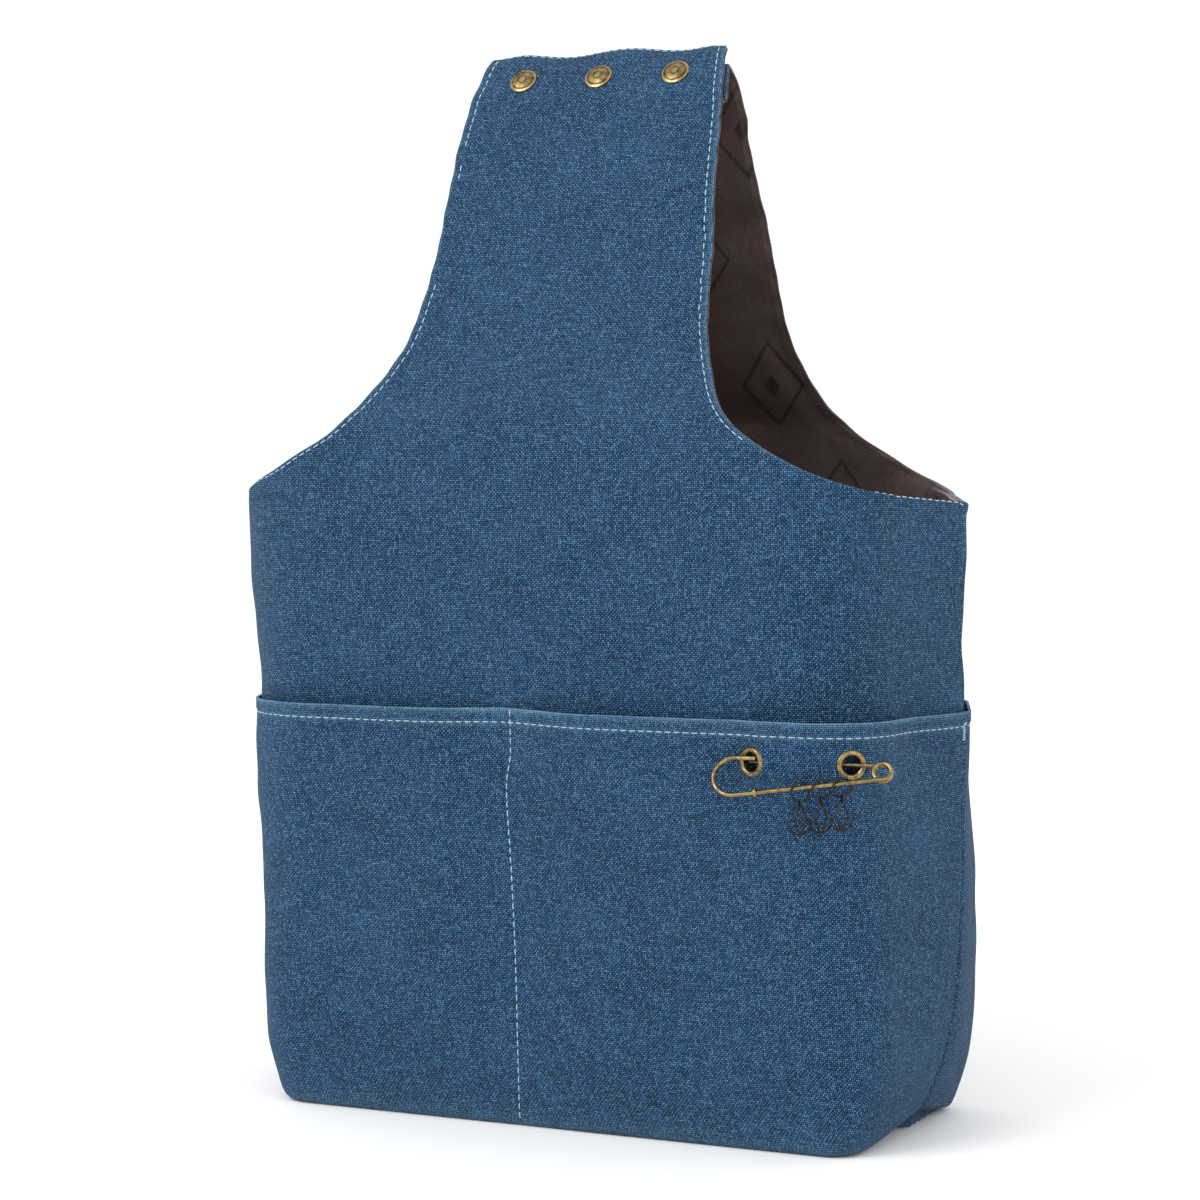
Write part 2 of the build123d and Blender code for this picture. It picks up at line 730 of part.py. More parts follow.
print("flap fold axis", 0, -station_at(fold_height)[1], fold_height)
print("needle axis", needle_start, needle_direction)
print("coil axis", needle_plane.from_local_coords(Vector(*coil_centre, 0)), pin_normal)
print("arm direction", arm_direction)
for number in (1, 2, 3):
    hang_point = arm_point(ring_first + ring_spacing * (number - 1))
    print("ring", number, hang_point, "foot", hang_point - Vector(0, 0, ring_hang + ring_radius))
print("ring across", ring_across)
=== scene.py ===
import math
from collections import namedtuple
import bpy
import numpy as np
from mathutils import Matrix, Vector, noise
from mathutils.bvhtree import BVHTree


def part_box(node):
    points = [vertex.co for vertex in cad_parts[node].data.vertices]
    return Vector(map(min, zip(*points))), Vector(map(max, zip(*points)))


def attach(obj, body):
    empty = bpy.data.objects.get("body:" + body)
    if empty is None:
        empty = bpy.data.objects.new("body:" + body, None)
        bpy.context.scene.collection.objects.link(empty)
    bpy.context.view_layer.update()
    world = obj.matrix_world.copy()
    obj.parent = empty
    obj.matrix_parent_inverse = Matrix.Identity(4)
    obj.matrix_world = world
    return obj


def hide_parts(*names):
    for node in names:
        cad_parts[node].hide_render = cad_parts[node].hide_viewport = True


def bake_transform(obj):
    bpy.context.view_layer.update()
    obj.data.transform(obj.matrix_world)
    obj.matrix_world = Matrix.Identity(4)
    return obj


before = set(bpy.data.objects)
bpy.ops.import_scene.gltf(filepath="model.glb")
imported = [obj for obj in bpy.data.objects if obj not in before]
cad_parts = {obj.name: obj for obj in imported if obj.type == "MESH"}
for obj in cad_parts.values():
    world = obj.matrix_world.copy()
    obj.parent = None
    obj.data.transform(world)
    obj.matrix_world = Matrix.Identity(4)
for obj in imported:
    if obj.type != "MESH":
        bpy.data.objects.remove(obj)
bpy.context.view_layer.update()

# The knitting bag's looks: cloth, stitching and metal finishes around the CAD frame.
# Metres, +Z up, with the front at -Y.
MM = 0.001

# Sizes read from the frame
panel_low, panel_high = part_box("front_panel")
MOUTH_WIDTH = panel_high.x
MOUTH_DEPTH = -panel_low.y
POCKET_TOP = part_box("front_pocket")[1].z
ARMHOLE = 0.272

# Cloth
CANVAS = 1.2 * MM
SATIN = 0.4 * MM
STITCH_INSET = 3.2 * MM
STITCH_PITCH = 4.0 * MM
HEM = 6.0 * MM
DIVIDER = -16.0 * MM
BASE_ROUND = 2.5 * MM
CORNER_LIFT = 11.0 * MM
END_ROUND = 4.0 * MM
LAYER_GAP = 0.3 * MM
SEAM_DEPTH = 2.2 * MM
SEAM_REACH = 3.0 * MM
SEAM_SHARPNESS = 1.6
WEAR_REACH = 0.9 * MM
FOOT_WEAR_REACH = 4.0 * MM
NECK = 0.300
MOUTH_EDGE = 0.2716
WEAVE_PITCH = 0.82 * MM
PRINT_PITCH = 60.0 * MM

# Snap caps
SNAP_SPACING = 37.0 * MM
SNAP_TILT = math.radians(35.5)
SNAP_CENTRE = Vector((0, -8.14 * MM, 459.0 * MM))
DOME_RADIUS = 15.7 * MM
CAP_HEIGHT = 2.0 * MM
CAP_RIM = (4.9 * MM, 0.34 * MM)
CAP_MOTIF = (2.0 * MM, 0.22 * MM)

# Metal pieces that carry over from the frame
SNAP_PIECES = ["snap_cap_{}", "snap_socket_{}", "snap_stud_{}", "snap_post_{}"]
HANGING_PIECES = ["jump_ring_{}", "stitch_marker_{}"]
BRASS_PIECES = [
    "eyelet_left",
    "eyelet_right",
    "eyelet_washer_left",
    "eyelet_washer_right",
    "pin_frame",
    "pin_collar",
    "pin_needle",
]

# Eyelets and pockets
LEFT_EYELET = sum(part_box("eyelet_washer_left"), Vector()) / 2
RIGHT_EYELET = sum(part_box("eyelet_washer_right"), Vector()) / 2
PIN_YAW = math.radians(7.8)
EYELET_TURN = math.radians(28.0)
LEFT_TURN = PIN_YAW - EYELET_TURN
RIGHT_TURN = PIN_YAW + EYELET_TURN
LEFT_AXIS = Vector((math.sin(LEFT_TURN), -math.cos(LEFT_TURN), 0))
RIGHT_AXIS = Vector((math.sin(RIGHT_TURN), -math.cos(RIGHT_TURN), 0))
WASHER_DEPTH = 1.45 * MM
LEFT_SEAT = LEFT_EYELET + LEFT_AXIS * WASHER_DEPTH
RIGHT_SEAT = RIGHT_EYELET + RIGHT_AXIS * WASHER_DEPTH
EYELET_HEIGHT = 0.166
EYELET_OPENING = 5.2 * MM
STAND_OFF = 6.5 * MM
BULGE = 3.0 * MM

# Camera
CAMERA_PLACE = Vector((0.5459, -1.1937, 0.2903))
CAMERA_AIM = Vector((-0.4174, 0.9075, -0.0480))
CAMERA_LENS = 87.9
CAMERA_SENSOR = 36.0


# ---------------------------------------------------------------- curves
def smooth_curve(x, knots, values):
    """Monotone cubic through a few given knots."""
    knots = np.asarray(knots, float)
    values = np.asarray(values, float)
    step = np.diff(knots)
    slope = np.diff(values) / step
    tangent = np.zeros(len(knots))
    tangent[0], tangent[-1] = slope[0], slope[-1]
    inner = slope[:-1] * slope[1:] > 0
    mean = 2 * slope[:-1] * slope[1:] / np.where(inner, slope[:-1] + slope[1:], 1)
    tangent[1:-1] = np.where(inner, mean, 0)
    x = np.clip(np.asarray(x, float), knots[0], knots[-1])
    i = np.clip(np.searchsorted(knots, x, side="right") - 1, 0, len(step) - 1)
    t = (x - knots[i]) / step[i]
    low = (2 * t**3 - 3 * t**2 + 1) * values[i] + (t**3 - 2 * t**2 + t) * step[i] * tangent[i]
    high = (3 * t**2 - 2 * t**3) * values[i + 1] + (t**3 - t**2) * step[i] * tangent[i + 1]
    return low + high


def smoothstep(x, low, high):
    """Smooth rise from nothing at low to one at high."""
    t = np.clip((np.asarray(x, float) - low) / (high - low), 0, 1)
    return t * t * (3 - 2 * t)


def half_width(z):
    """Half width of the panels at the side seams."""
    shares = [0, 0.02, 0.08, 0.17, 0.35, 0.61, 0.78, 1]
    widths = [0.838, 0.854, 0.884, 0.910, 0.934, 0.955, 0.970, 0.995]
    return MOUTH_WIDTH * smooth_curve(z / ARMHOLE, shares, widths)


def half_depth(z):
    """Half depth of the panels along the bag's middle, below the fold."""
    body_heights = [0, 0.02, 0.08, 0.17, 0.35, 0.61, 0.78, 1]
    body_depths = [0.77, 0.80, 0.82, 0.84, 0.87, 0.915, 0.96, 1]
    strap_heights = [1.074, 1.125, 1.184, 1.25, 1.324, 1.397, 1.47, 1.544, 1.581]
    strap_depths = [0.99, 0.96, 0.83, 0.69, 0.585, 0.49, 0.42, 0.333, 0.288]
    return MOUTH_DEPTH * smooth_curve(z / ARMHOLE, body_heights + strap_heights, body_depths + strap_depths)


def corner_radius(z):
    """Radius of the corner between the front or back and the side wall."""
    shares = [0, 0.08, 0.35, 0.61, 1, 1.2]
    radii = [15, 21, 30, 39, 50, 50]
    return smooth_curve(z / ARMHOLE, shares, radii) * MM


def strap_edge(z):
    """Half width of the cloth above the armhole corners."""
    heights = [0.2715, 0.276, 0.288, 0.306, 0.324, 0.350, 0.400, 0.440, 0.472]
    widths = [0.1752, 0.1525, 0.1213, 0.0922, 0.0787, 0.0692, 0.0639, 0.0616, 0.0570]
    return smooth_curve(z, heights, widths)


def wall_turn(z, facing):
    """Angle between the front and the wall that runs from a corner to the side seam."""
    shares = [0, 0.02, 0.17, 0.35, 0.61, 0.78, 1]
    front = [79, 79, 76, 72.5, 70, 68, 66]
    back = [87, 86, 83, 78.5, 72, 69, 66]
    return np.radians(smooth_curve(z / ARMHOLE, shares, front if facing < 0 else back))


def sway(z):
    """Sideways lean of the standing cloth. It is nothing where metal pieces are fixed."""
    heights = [0, 0.03, 0.064, 0.10, 0.124, 0.15, 0.182, 0.214, 0.24, 0.27, 0.33, 0.38]
    shifts = [1.2, 2.4, 2.8, 2.2, 1.4, 0.0, 0.0, -3.0, -4.2, -5.0, -2.4, 0.0]
    return smooth_curve(z, heights, shifts) * MM


def base_tuck(z):
    """How far the cloth turns in at the bottom edge."""
    t = np.clip(1 - z / BASE_ROUND, 0, 1)
    return BASE_ROUND * (1 - np.sqrt(1 - t * t))


def section_curve(width, depth, radius, turn, count=500):
    """Right half of a level section from the middle of the front to the side seam, as points."""
    radius = min(radius, depth * 0.9)
    wall = (depth - radius * (1 - math.cos(turn))) / math.sin(turn)
    wall_x, wall_y = width - wall * math.cos(turn), -wall * math.sin(turn)
    flat_end = wall_x - radius * math.sin(turn)
    flat = np.linspace(0, flat_end, count)
    angle = np.linspace(0, turn, count // 2)[1:]
    share = np.linspace(0, 1, count // 3)[1:]
    x = np.concatenate([flat, flat_end + radius * np.sin(angle), wall_x + (width - wall_x) * share])
    corner_y = radius - depth - radius * np.cos(angle)
    y = np.concatenate([np.full(count, -depth), corner_y, wall_y * (1 - share)])
    return x, y


def along(x, y):
    """Distance along a line at each of its points."""
    return np.concatenate([[0], np.cumsum(np.hypot(np.diff(x), np.diff(y)))])


def cloth_noise(points, scale, seed):
    """Smooth noise of a given grain at each point."""
    return np.array([noise.noise(Vector(p) / scale + Vector((seed, 2 * seed, 0))) for p in points])


# ---------------------------------------------------------------- mesh helpers
def grid_normals(grid):
    """Unit normals of a grid of points."""
    down = np.gradient(grid, axis=0)
    across = np.gradient(grid, axis=1)
    normal = np.cross(across, down)
    length = np.linalg.norm(normal, axis=2, keepdims=True)
    return normal / np.maximum(length, 1e-12)


def outward_normals(grid, facing):
    """Grid normals, turned so that the middle of the cloth looks outward."""
    normals = grid_normals(grid)
    middle = normals[grid.shape[0] // 3, grid.shape[1] // 2]
    return normals if middle[1] * facing > 0 else -normals


def place_in_scene(name, data):
    """A new object in the scene that holds a mesh, a light or a camera."""
    thing = bpy.data.objects.new(name, data)
    bpy.context.scene.collection.objects.link(thing)
    return thing


def rounded_mesh(name, points, faces, material):
    """A smooth-shaded piece of one material."""
    mesh = bpy.data.meshes.new(name)
    mesh.from_pydata(points, [], faces)
    mesh.polygons.foreach_set("use_smooth", [True] * len(mesh.polygons))
    mesh.materials.append(material)
    return place_in_scene(name, mesh)


def cloth_mesh(name, grid, uv, thickness, outward, wear=None, drop=None):
    """Closed sheet between a grid of outer points and the same grid set in by the thickness.

    outward has one vector for each grid point, and drop marks the cells that are left open."""
    rows, columns, _ = grid.shape
    inner = grid - outward * thickness
    points = np.concatenate([grid.reshape(-1, 3), inner.reshape(-1, 3)])
    shift = rows * columns
    index = np.arange(shift).reshape(rows, columns)
    a, b = index[:-1, :-1], index[:-1, 1:]
    c, d = index[1:, 1:], index[1:, :-1]
    keep = np.ones(a.shape, bool) if drop is None else ~drop
    quads = np.stack([a, b, c, d], axis=-1)[keep]
    faces = [tuple(q) for q in quads] + [tuple(q[::-1] + shift) for q in quads]
    directed = {}
    for q in quads:
        for i in range(4):
            directed[(q[i], q[(i + 1) % 4])] = True
    for start, end in list(directed):
        if (end, start) not in directed:
            faces.append((end, start, start + shift, end + shift))
    used = np.unique(np.array([i for f in faces for i in f]))
    remap = -np.ones(2 * shift, int)
    remap[used] = np.arange(len(used))
    faces = [tuple(int(remap[i]) for i in f) for f in faces]
    mesh = bpy.data.meshes.new(name)
    mesh.from_pydata([tuple(p) for p in points[used]], [], faces)
    layer = mesh.uv_layers.new(name="weave")
    uv_all = np.concatenate([uv.reshape(-1, 2), uv.reshape(-1, 2)])[used]
    loops = np.zeros(len(mesh.loops), int)
    mesh.loops.foreach_get("vertex_index", loops)
    layer.data.foreach_set("uv", uv_all[loops].astype(np.float32).ravel())
    values = np.zeros(2 * shift) if wear is None else np.concatenate([wear.ravel(), wear.ravel()])
    attribute = mesh.attributes.new("wear", "FLOAT", "POINT")
    attribute.data.foreach_set("value", values[used].astype(np.float32))
    mesh.polygons.foreach_set("use_smooth", [True] * len(mesh.polygons))
    mesh.set_sharp_from_angle(angle=math.radians(60))
    mesh.validate()
    return place_in_scene(name, mesh)


def tree_of(piece):
    """Search tree of a piece's surface."""
    mesh = piece.data
    return BVHTree.FromPolygons([v.co for v in mesh.vertices], [tuple(p.vertices) for p in mesh.polygons])


def resample(path, pitch):
    """Evenly spaced points along a path."""
    path = np.asarray(path)
    lengths = np.concatenate([[0], np.cumsum(np.linalg.norm(np.diff(path, axis=0), axis=1))])
    count = max(2, int(round(lengths[-1] / pitch)))
    at = np.linspace(0, lengths[-1], count + 1)
    return np.stack([np.interp(at, lengths, path[:, i]) for i in range(3)], axis=1)


def stitch_row(name, paths, tree, material, pitch=STITCH_PITCH, radius=0.27 * MM, fill=0.74):
    """Runs of small arched stitches pressed into the cloth along each path."""
    points, faces = [], []
    sides, rings = 6, 5
    for path in paths:
        marks = resample(path, pitch)
        for start, end in zip(marks, marks[1:]):
            middle = Vector((start + end) / 2)
            hit, normal, _, _ = tree.find_nearest(middle)
            if hit is None:
                continue
            direction = Vector(end - start)
            direction = (direction - normal * direction.dot(normal)).normalized()
            side = direction.cross(normal)
            length = (Vector(end) - Vector(start)).length * fill
            base = len(points)
            for k in range(rings):
                t = k / (rings - 1) * 2 - 1
                lift = radius * (0.75 - 1.15 * t * t)
                centre = hit + direction * (length * t / 2) + normal * lift
                r = radius * (1 - 0.45 * t**4)
                for j in range(sides):
                    angle = 2 * math.pi * j / sides
                    points.append(centre + side * (r * math.cos(angle)) + normal * (r * math.sin(angle)))
            for k in range(rings - 1):
                for j in range(sides):
                    low, high = base + k * sides, base + (k + 1) * sides
                    faces.append((low + j, low + (j + 1) % sides, high + (j + 1) % sides, high + j))
            faces.append(tuple(base + j for j in reversed(range(sides))))
            faces.append(tuple(base + (rings - 1) * sides + j for j in range(sides)))
    return rounded_mesh(name, points, faces, material)


# ---------------------------------------------------------------- materials
class Nodes:
    """A small helper that adds and links shader nodes."""

    def __init__(self, name):
        self.material = bpy.data.materials.new(name)
        self.material.use_nodes = True
        self.tree = self.material.node_tree
        self.shader = self.tree.nodes["Principled BSDF"]

    def add(self, kind, **settings):
        node = self.tree.nodes.new(kind)
        for key, value in settings.items():
            setattr(node, key, value)
        return node

    def put(self, socket, value):
        if isinstance(value, bpy.types.NodeSocket):
            self.tree.links.new(value, socket)
        else:
            socket.default_value = value

    def math(self, operation, a, b=0.0, clamp=False):
        node = self.add("ShaderNodeMath", operation=operation, use_clamp=clamp)
        self.put(node.inputs[0], a)
        self.put(node.inputs[1], b)
        return node.outputs[0]

    def mix(self, factor, a, b, blend_type="MIX"):
        node = self.add("ShaderNodeMix", data_type="RGBA", blend_type=blend_type)
        self.put(node.inputs[0], factor)
        self.put(node.inputs[6], a)
        self.put(node.inputs[7], b)
        return node.outputs[2]

    def ramp(self, value, low, high):
        node = self.add("ShaderNodeMapRange")
        self.put(node.inputs[0], value)
        node.inputs[1].default_value = low
        node.inputs[2].default_value = high
        return node.outputs[0]

    def noise(self, vector, scale, detail=2.0, roughness=0.5):
        node = self.add("ShaderNodeTexNoise")
        self.put(node.inputs["Vector"], vector)
        node.inputs["Scale"].default_value = scale
        node.inputs["Detail"].default_value = detail
        node.inputs["Roughness"].default_value = roughness
        return node.outputs[0]

    def bump(self, height, strength, distance):
        node = self.add("ShaderNodeBump")
        node.inputs["Strength"].default_value = strength
        node.inputs["Distance"].default_value = distance
        self.put(node.inputs["Height"], height)
        self.put(self.shader.inputs["Normal"], node.outputs[0])

    def scaled(self, vector, x, y, z=1.0):
        node = self.add("ShaderNodeVectorMath", operation="MULTIPLY")
        self.put(node.inputs[0], vector)
        node.inputs[1].default_value = (x, y, z)
        return node.outputs[0]


def colour(r, g, b):
    """Opaque colour for a shader socket."""
    return (r, g, b, 1.0)


def canvas_material(name, gap, yarn, fleck):
    """Plain weave: each crossing is a small dome of its own tone, with the gaps between crossings darkened
    by painted shade, and pale flecks.
    """
    n = Nodes(name)
    uv = n.add("ShaderNodeUVMap", uv_map="weave").outputs[0]
    parts = n.add("ShaderNodeSeparateXYZ")
    n.put(parts.inputs[0], uv)
    wobble = n.math("MULTIPLY", n.noise(uv, 90.0, 2.0), 1.1)
    warp = n.math("ADD", n.math("MULTIPLY", parts.outputs[0], 1 / WEAVE_PITCH), wobble)
    weft = n.math("ADD", n.math("MULTIPLY", parts.outputs[1], 1 / WEAVE_PITCH), wobble)
    wave = n.math("SINE", n.math("MULTIPLY", warp, math.pi))
    wave = n.math("MULTIPLY", wave, n.math("SINE", n.math("MULTIPLY", weft, math.pi)))
    dome = n.math("ABSOLUTE", wave)
    over = n.ramp(wave, -0.15, 0.15)
    cell = n.add("ShaderNodeCombineXYZ")
    n.put(cell.inputs[0], n.math("FLOOR", warp))
    n.put(cell.inputs[1], n.math("FLOOR", weft))
    shade = n.add("ShaderNodeTexWhiteNoise", noise_dimensions="2D")
    n.put(shade.inputs["Vector"], cell.outputs[0])
    shade = shade.outputs["Value"]
    slub = n.math("MULTIPLY", n.noise(n.scaled(uv, 1 / WEAVE_PITCH, 70.0), 1.0, 3.0, 0.6), over)
    cross_slub = n.noise(n.scaled(uv, 70.0, 1 / WEAVE_PITCH), 1.0, 3.0, 0.6)
    slub = n.math("ADD", slub, n.math("MULTIPLY", cross_slub, n.math("SUBTRACT", 1.0, over)))
    patch = n.noise(uv, 18.0, 4.0, 0.6)
    tone = n.math("MULTIPLY", dome, n.math("ADD", 0.42, n.math("MULTIPLY", over, 0.58)))
    tone = n.math("MULTIPLY", tone, n.math("ADD", 0.35, n.math("MULTIPLY", shade, 0.75)))
    tone = n.math("ADD", n.math("MULTIPLY", tone, 1.25), n.math("MULTIPLY", n.ramp(slub, 0.42, 0.75), 0.32))
    tone = n.math("ADD", tone, n.math("MULTIPLY", n.math("SUBTRACT", patch, 0.5), 0.22))
    contrast = n.math("MULTIPLY", n.math("SUBTRACT", tone, 0.19), 1.9, clamp=True)
    # Painted shade: the colour falls towards the near-black gap colour where the dome sinks between
    # crossings, the same dome that the bump raises.
    base = n.mix(contrast, gap, yarn)
    bright = n.math("MULTIPLY", n.ramp(shade, 0.78, 1.0), n.ramp(dome, 0.25, 0.8))
    base = n.mix(n.math("MULTIPLY", bright, 0.55), base, fleck)
    wear = n.add("ShaderNodeAttribute", attribute_name="wear").outputs["Fac"]
    worn = n.math("MULTIPLY", wear, n.ramp(n.math("ADD", slub, n.math("MULTIPLY", dome, 0.4)), 0.35, 0.9))
    base = n.mix(n.math("MULTIPLY", worn, 0.75, clamp=True), base, fleck)
    n.put(n.shader.inputs["Base Color"], base)
    n.put(n.shader.inputs["Roughness"], n.math("ADD", 0.8, n.math("MULTIPLY", shade, 0.12)))
    n.shader.inputs["Specular IOR Level"].default_value = 0.2
    n.shader.inputs["Sheen Weight"].default_value = 0.06
    n.shader.inputs["Sheen Roughness"].default_value = 0.5
    n.shader.inputs["Sheen Tint"].default_value = colour(0.6, 0.75, 0.9)
    n.bump(n.math("ADD", dome, n.math("MULTIPLY", slub, 0.5)), 0.9, 0.35 * MM)
    return n.material


def satin_material():
    """Brown satin with sparse dark lozenge outlines printed tone on tone, and painted sheen and shade over
    its folds.
    """
    n = Nodes("brown_satin")
    uv = n.add("ShaderNodeUVMap", uv_map="weave").outputs[0]
    tile = n.scaled(uv, 1 / PRINT_PITCH, 1 / PRINT_PITCH)
    parts = n.add("ShaderNodeSeparateXYZ")
    n.put(parts.inputs[0], tile)
    row = n.math("FLOOR", parts.outputs[1])
    half = n.math("MULTIPLY", n.math("FLOORED_MODULO", row, 2.0), 0.5)
    across = n.math("SUBTRACT", n.math("FRACT", n.math("ADD", parts.outputs[0], half)), 0.5)
    up = n.math("SUBTRACT", n.math("FRACT", parts.outputs[1]), 0.5)
    reach = n.math("ADD", n.math("ABSOLUTE", across), n.math("MULTIPLY", n.math("ABSOLUTE", up), 0.7))
    off_ring = n.math("ABSOLUTE", n.math("SUBTRACT", reach, 0.24))
    ring = n.math("SUBTRACT", 1.0, n.ramp(off_ring, 0.014, 0.024))
    dot = n.math("SUBTRACT", 1.0, n.ramp(reach, 0.06, 0.072))
    print_mask = n.math("MAXIMUM", ring, dot)
    fine = n.noise(n.scaled(uv, 4200.0, 300.0), 1.0, 1.0)
    fold_and_sheen = n.noise(uv, 26.0, 3.0)
    # Painted sheen and shade: the colour is lighter on the crests and darker in the troughs of the same
    # noise that the bump turns into folds.
    base = n.mix(fold_and_sheen, colour(0.038, 0.025, 0.024), colour(0.075, 0.050, 0.046))
    # Painted sheen: the fine streaks are made lighter where the bump raises them.
    base = n.mix(n.math("MULTIPLY", fine, 0.3), base, colour(0.095, 0.068, 0.062))
    base = n.mix(n.math("MULTIPLY", print_mask, 0.72), base, colour(0.016, 0.011, 0.010))
    n.put(n.shader.inputs["Base Color"], base)
    n.put(n.shader.inputs["Roughness"], n.math("ADD", 0.30, n.math("MULTIPLY", fine, 0.12)))
    n.shader.inputs["Specular IOR Level"].default_value = 0.65
    n.shader.inputs["Specular Tint"].default_value = colour(0.95, 0.75, 0.68)
    n.shader.inputs["Sheen Weight"].default_value = 0.3
    n.shader.inputs["Sheen Roughness"].default_value = 0.3
    n.shader.inputs["Sheen Tint"].default_value = colour(0.75, 0.55, 0.48)
    n.bump(n.math("ADD", n.math("MULTIPLY", fine, 0.4), n.math("MULTIPLY", fold_and_sheen, 8.0)), 0.6, 0.5 * MM)
    return n.material


def thread_material(name, tint):
    """Twisted cotton thread."""
    n = Nodes(name)
    where = n.add("ShaderNodeTexCoord").outputs["Object"]
    twist = n.noise(n.scaled(where, 2600.0, 2600.0, 2600.0), 1.0, 2.0)
    n.put(n.shader.inputs["Base Color"], n.mix(twist, colour(*[c * 0.6 for c in tint]), colour(*tint)))
    n.put(n.shader.inputs["Roughness"], n.math("ADD", 0.5, n.math("MULTIPLY", twist, 0.3)))
    n.bump(twist, 0.5, 0.08 * MM)
    return n.material


def metal_material(name, bright, dark, roughness, patina_scale):
    """Antique finish: bright on the rubbed parts, dark in patches and recesses."""
    n = Nodes(name)
    where = n.add("ShaderNodeTexCoord").outputs["Object"]
    patina = n.ramp(n.noise(where, patina_scale, 5.0, 0.65), 0.38, 0.66)
    scratches = n.noise(n.scaled(where, 500.0, 2600.0, 2600.0), 1.0, 2.0, 0.6)
    rubbed = n.add("ShaderNodeNewGeometry").outputs["Pointiness"]
    edge = n.ramp(rubbed, 0.46, 0.56)
    mixed = n.math("ADD", n.math("MULTIPLY", patina, 0.55), n.math("MULTIPLY", edge, 0.6), clamp=True)
    n.put(n.shader.inputs["Base Color"], n.mix(mixed, dark, bright))
    n.shader.inputs["Metallic"].default_value = 1.0
    rough = n.math("ADD", roughness, n.math("MULTIPLY", n.math("SUBTRACT", 1.0, mixed), 0.22))
    n.put(n.shader.inputs["Roughness"], n.math("ADD", rough, n.math("MULTIPLY", scratches, 0.1)))
    n.bump(n.math("ADD", scratches, n.math("MULTIPLY", patina, 1.5)), 0.25, 0.05 * MM)
    return n.material


# Near-black blue, painted into the gaps between the weave's crossings as their shade.
PAINTED_GAP_SHADE = colour(0.0012, 0.0090, 0.030)
BLUE_YARN = colour(0.047, 0.160, 0.315)
PALE_FLECK = colour(0.20, 0.38, 0.54)
CANVAS_BLUE = canvas_material("washed_blue_canvas", PAINTED_GAP_SHADE, BLUE_YARN, PALE_FLECK)
SATIN_BROWN = satin_material()
THREAD = thread_material("pale_blue_thread", (0.42, 0.58, 0.68))
BRASS = metal_material("antique_brass", colour(0.40, 0.290, 0.130), colour(0.030, 0.021, 0.009), 0.20, 420.0)
BRONZE = metal_material("dark_bronze", colour(0.060, 0.049, 0.042), colour(0.006, 0.005, 0.004), 0.22, 600.0)


# ---------------------------------------------------------------- panels and straps
def row_heights(top, foot=0.0):
    """Heights of the grid rows, closer together at the base and where the armholes begin."""
    bands = [
        (0.0, 0.006, 0.6 * MM),
        (0.006, 0.262, 2.4 * MM),
        (0.262, 0.292, 0.6 * MM),
        (0.292, 0.330, 1.5 * MM),
        (0.330, 1.0, 2.2 * MM),
    ]
    heights = [foot]
    for low, high, step in bands:
        low, high = max(low, foot), min(high, top)
        if high > low:
            heights += list(np.linspace(low, high, max(2, int((high - low) / step) + 1))[1:])
    return heights


def spline_between(a, b, c, d, t):
    """Point of a smooth line between b and c, given the points before and after them."""
    square = (2 * a - 5 * b + 4 * c - d) * t**2
    cube = (3 * b - a - 3 * c + d) * t**3
    return 0.5 * (2 * b + (c - a) * t + square + cube)


def curve_through(points, spacing):
    """Smooth line through given points, as evenly spaced points."""
    points = [np.asarray(p, float) for p in points]
    points = [2 * points[0] - points[1]] + points + [2 * points[-1] - points[-2]]
    fine = []
    for a, b, c, d in zip(points, points[1:], points[2:], points[3:]):
        for t in np.linspace(0, 1, 24, endpoint=False):
            fine.append(spline_between(a, b, c, d, t))
    fine.append(points[-2])
    fine = np.array(fine)
    length = np.concatenate([[0], np.cumsum(np.linalg.norm(np.diff(fine, axis=0), axis=1))])
    at = np.linspace(0, length[-1], int(length[-1] / spacing) + 1)
    return np.stack([np.interp(at, length, fine[:, i]) for i in range(fine.shape[1])], axis=1)


def lap(z):
    """How far the back strap lies inside the bag's outline, to pass under the flap."""
    return 6.5 * MM * np.clip((z - 0.396) / 0.036, 0, 1)


def front_profile():
    """Depth and height of the front's middle line, from the base to the flap's end."""
    low = [(half_depth(z), z) for z in row_heights(0.428)]
    high = curve_through(
        [
            (half_depth(0.428), 0.428),
            (17.45 * MM, 0.440),
            (13.85 * MM, 0.450),
            (8.2 * MM, 0.4592),
            (3.0 * MM, 0.4668),
            (-1.2 * MM, 0.4708),
            (-4.2 * MM, 0.4716),
        ],
        1.1 * MM,
    )
    return low + [tuple(p) for p in high[1:]]


def back_profile():
    """Depth and height of the back's middle line, over the ridge and down under the flap."""
    low = [(half_depth(z) - lap(z), z) for z in row_heights(0.440)]
    lean = 4.0 * MM
    high = curve_through(
        [
            low[-1],
            (9.25 * MM + 0.4 * lean, 0.450),
            (5.0 * MM + 0.6 * lean, 0.4580),
            (0.9 * MM, 0.4625),
            (-0.8 * MM, 0.4618),
            (-3.6 * MM, 0.4572),
            (-6.6 * MM, 0.4515),
            (-9.4 * MM, 0.4445),
        ],
        1.1 * MM,
    )
    return low + [tuple(p) for p in high[1:]]


def edge_columns(count):
    """Shares of the inner run, and the fixed distances from each edge that finish it."""
    return np.linspace(-1, 1, count), np.array([2.4, 1.6, 1.0, 0.6, 0.3, 0.1, 0.0]) * MM


def corner_round(from_end):
    """How far the free end's rounded corners stand in from the strap's edges."""
    level = np.clip(1 - from_end / END_ROUND, 0, 1)
    return float(END_ROUND * (1 - np.sqrt(1 - level**2)))


Row = namedtuple("Row", "z x y length limit run depth")


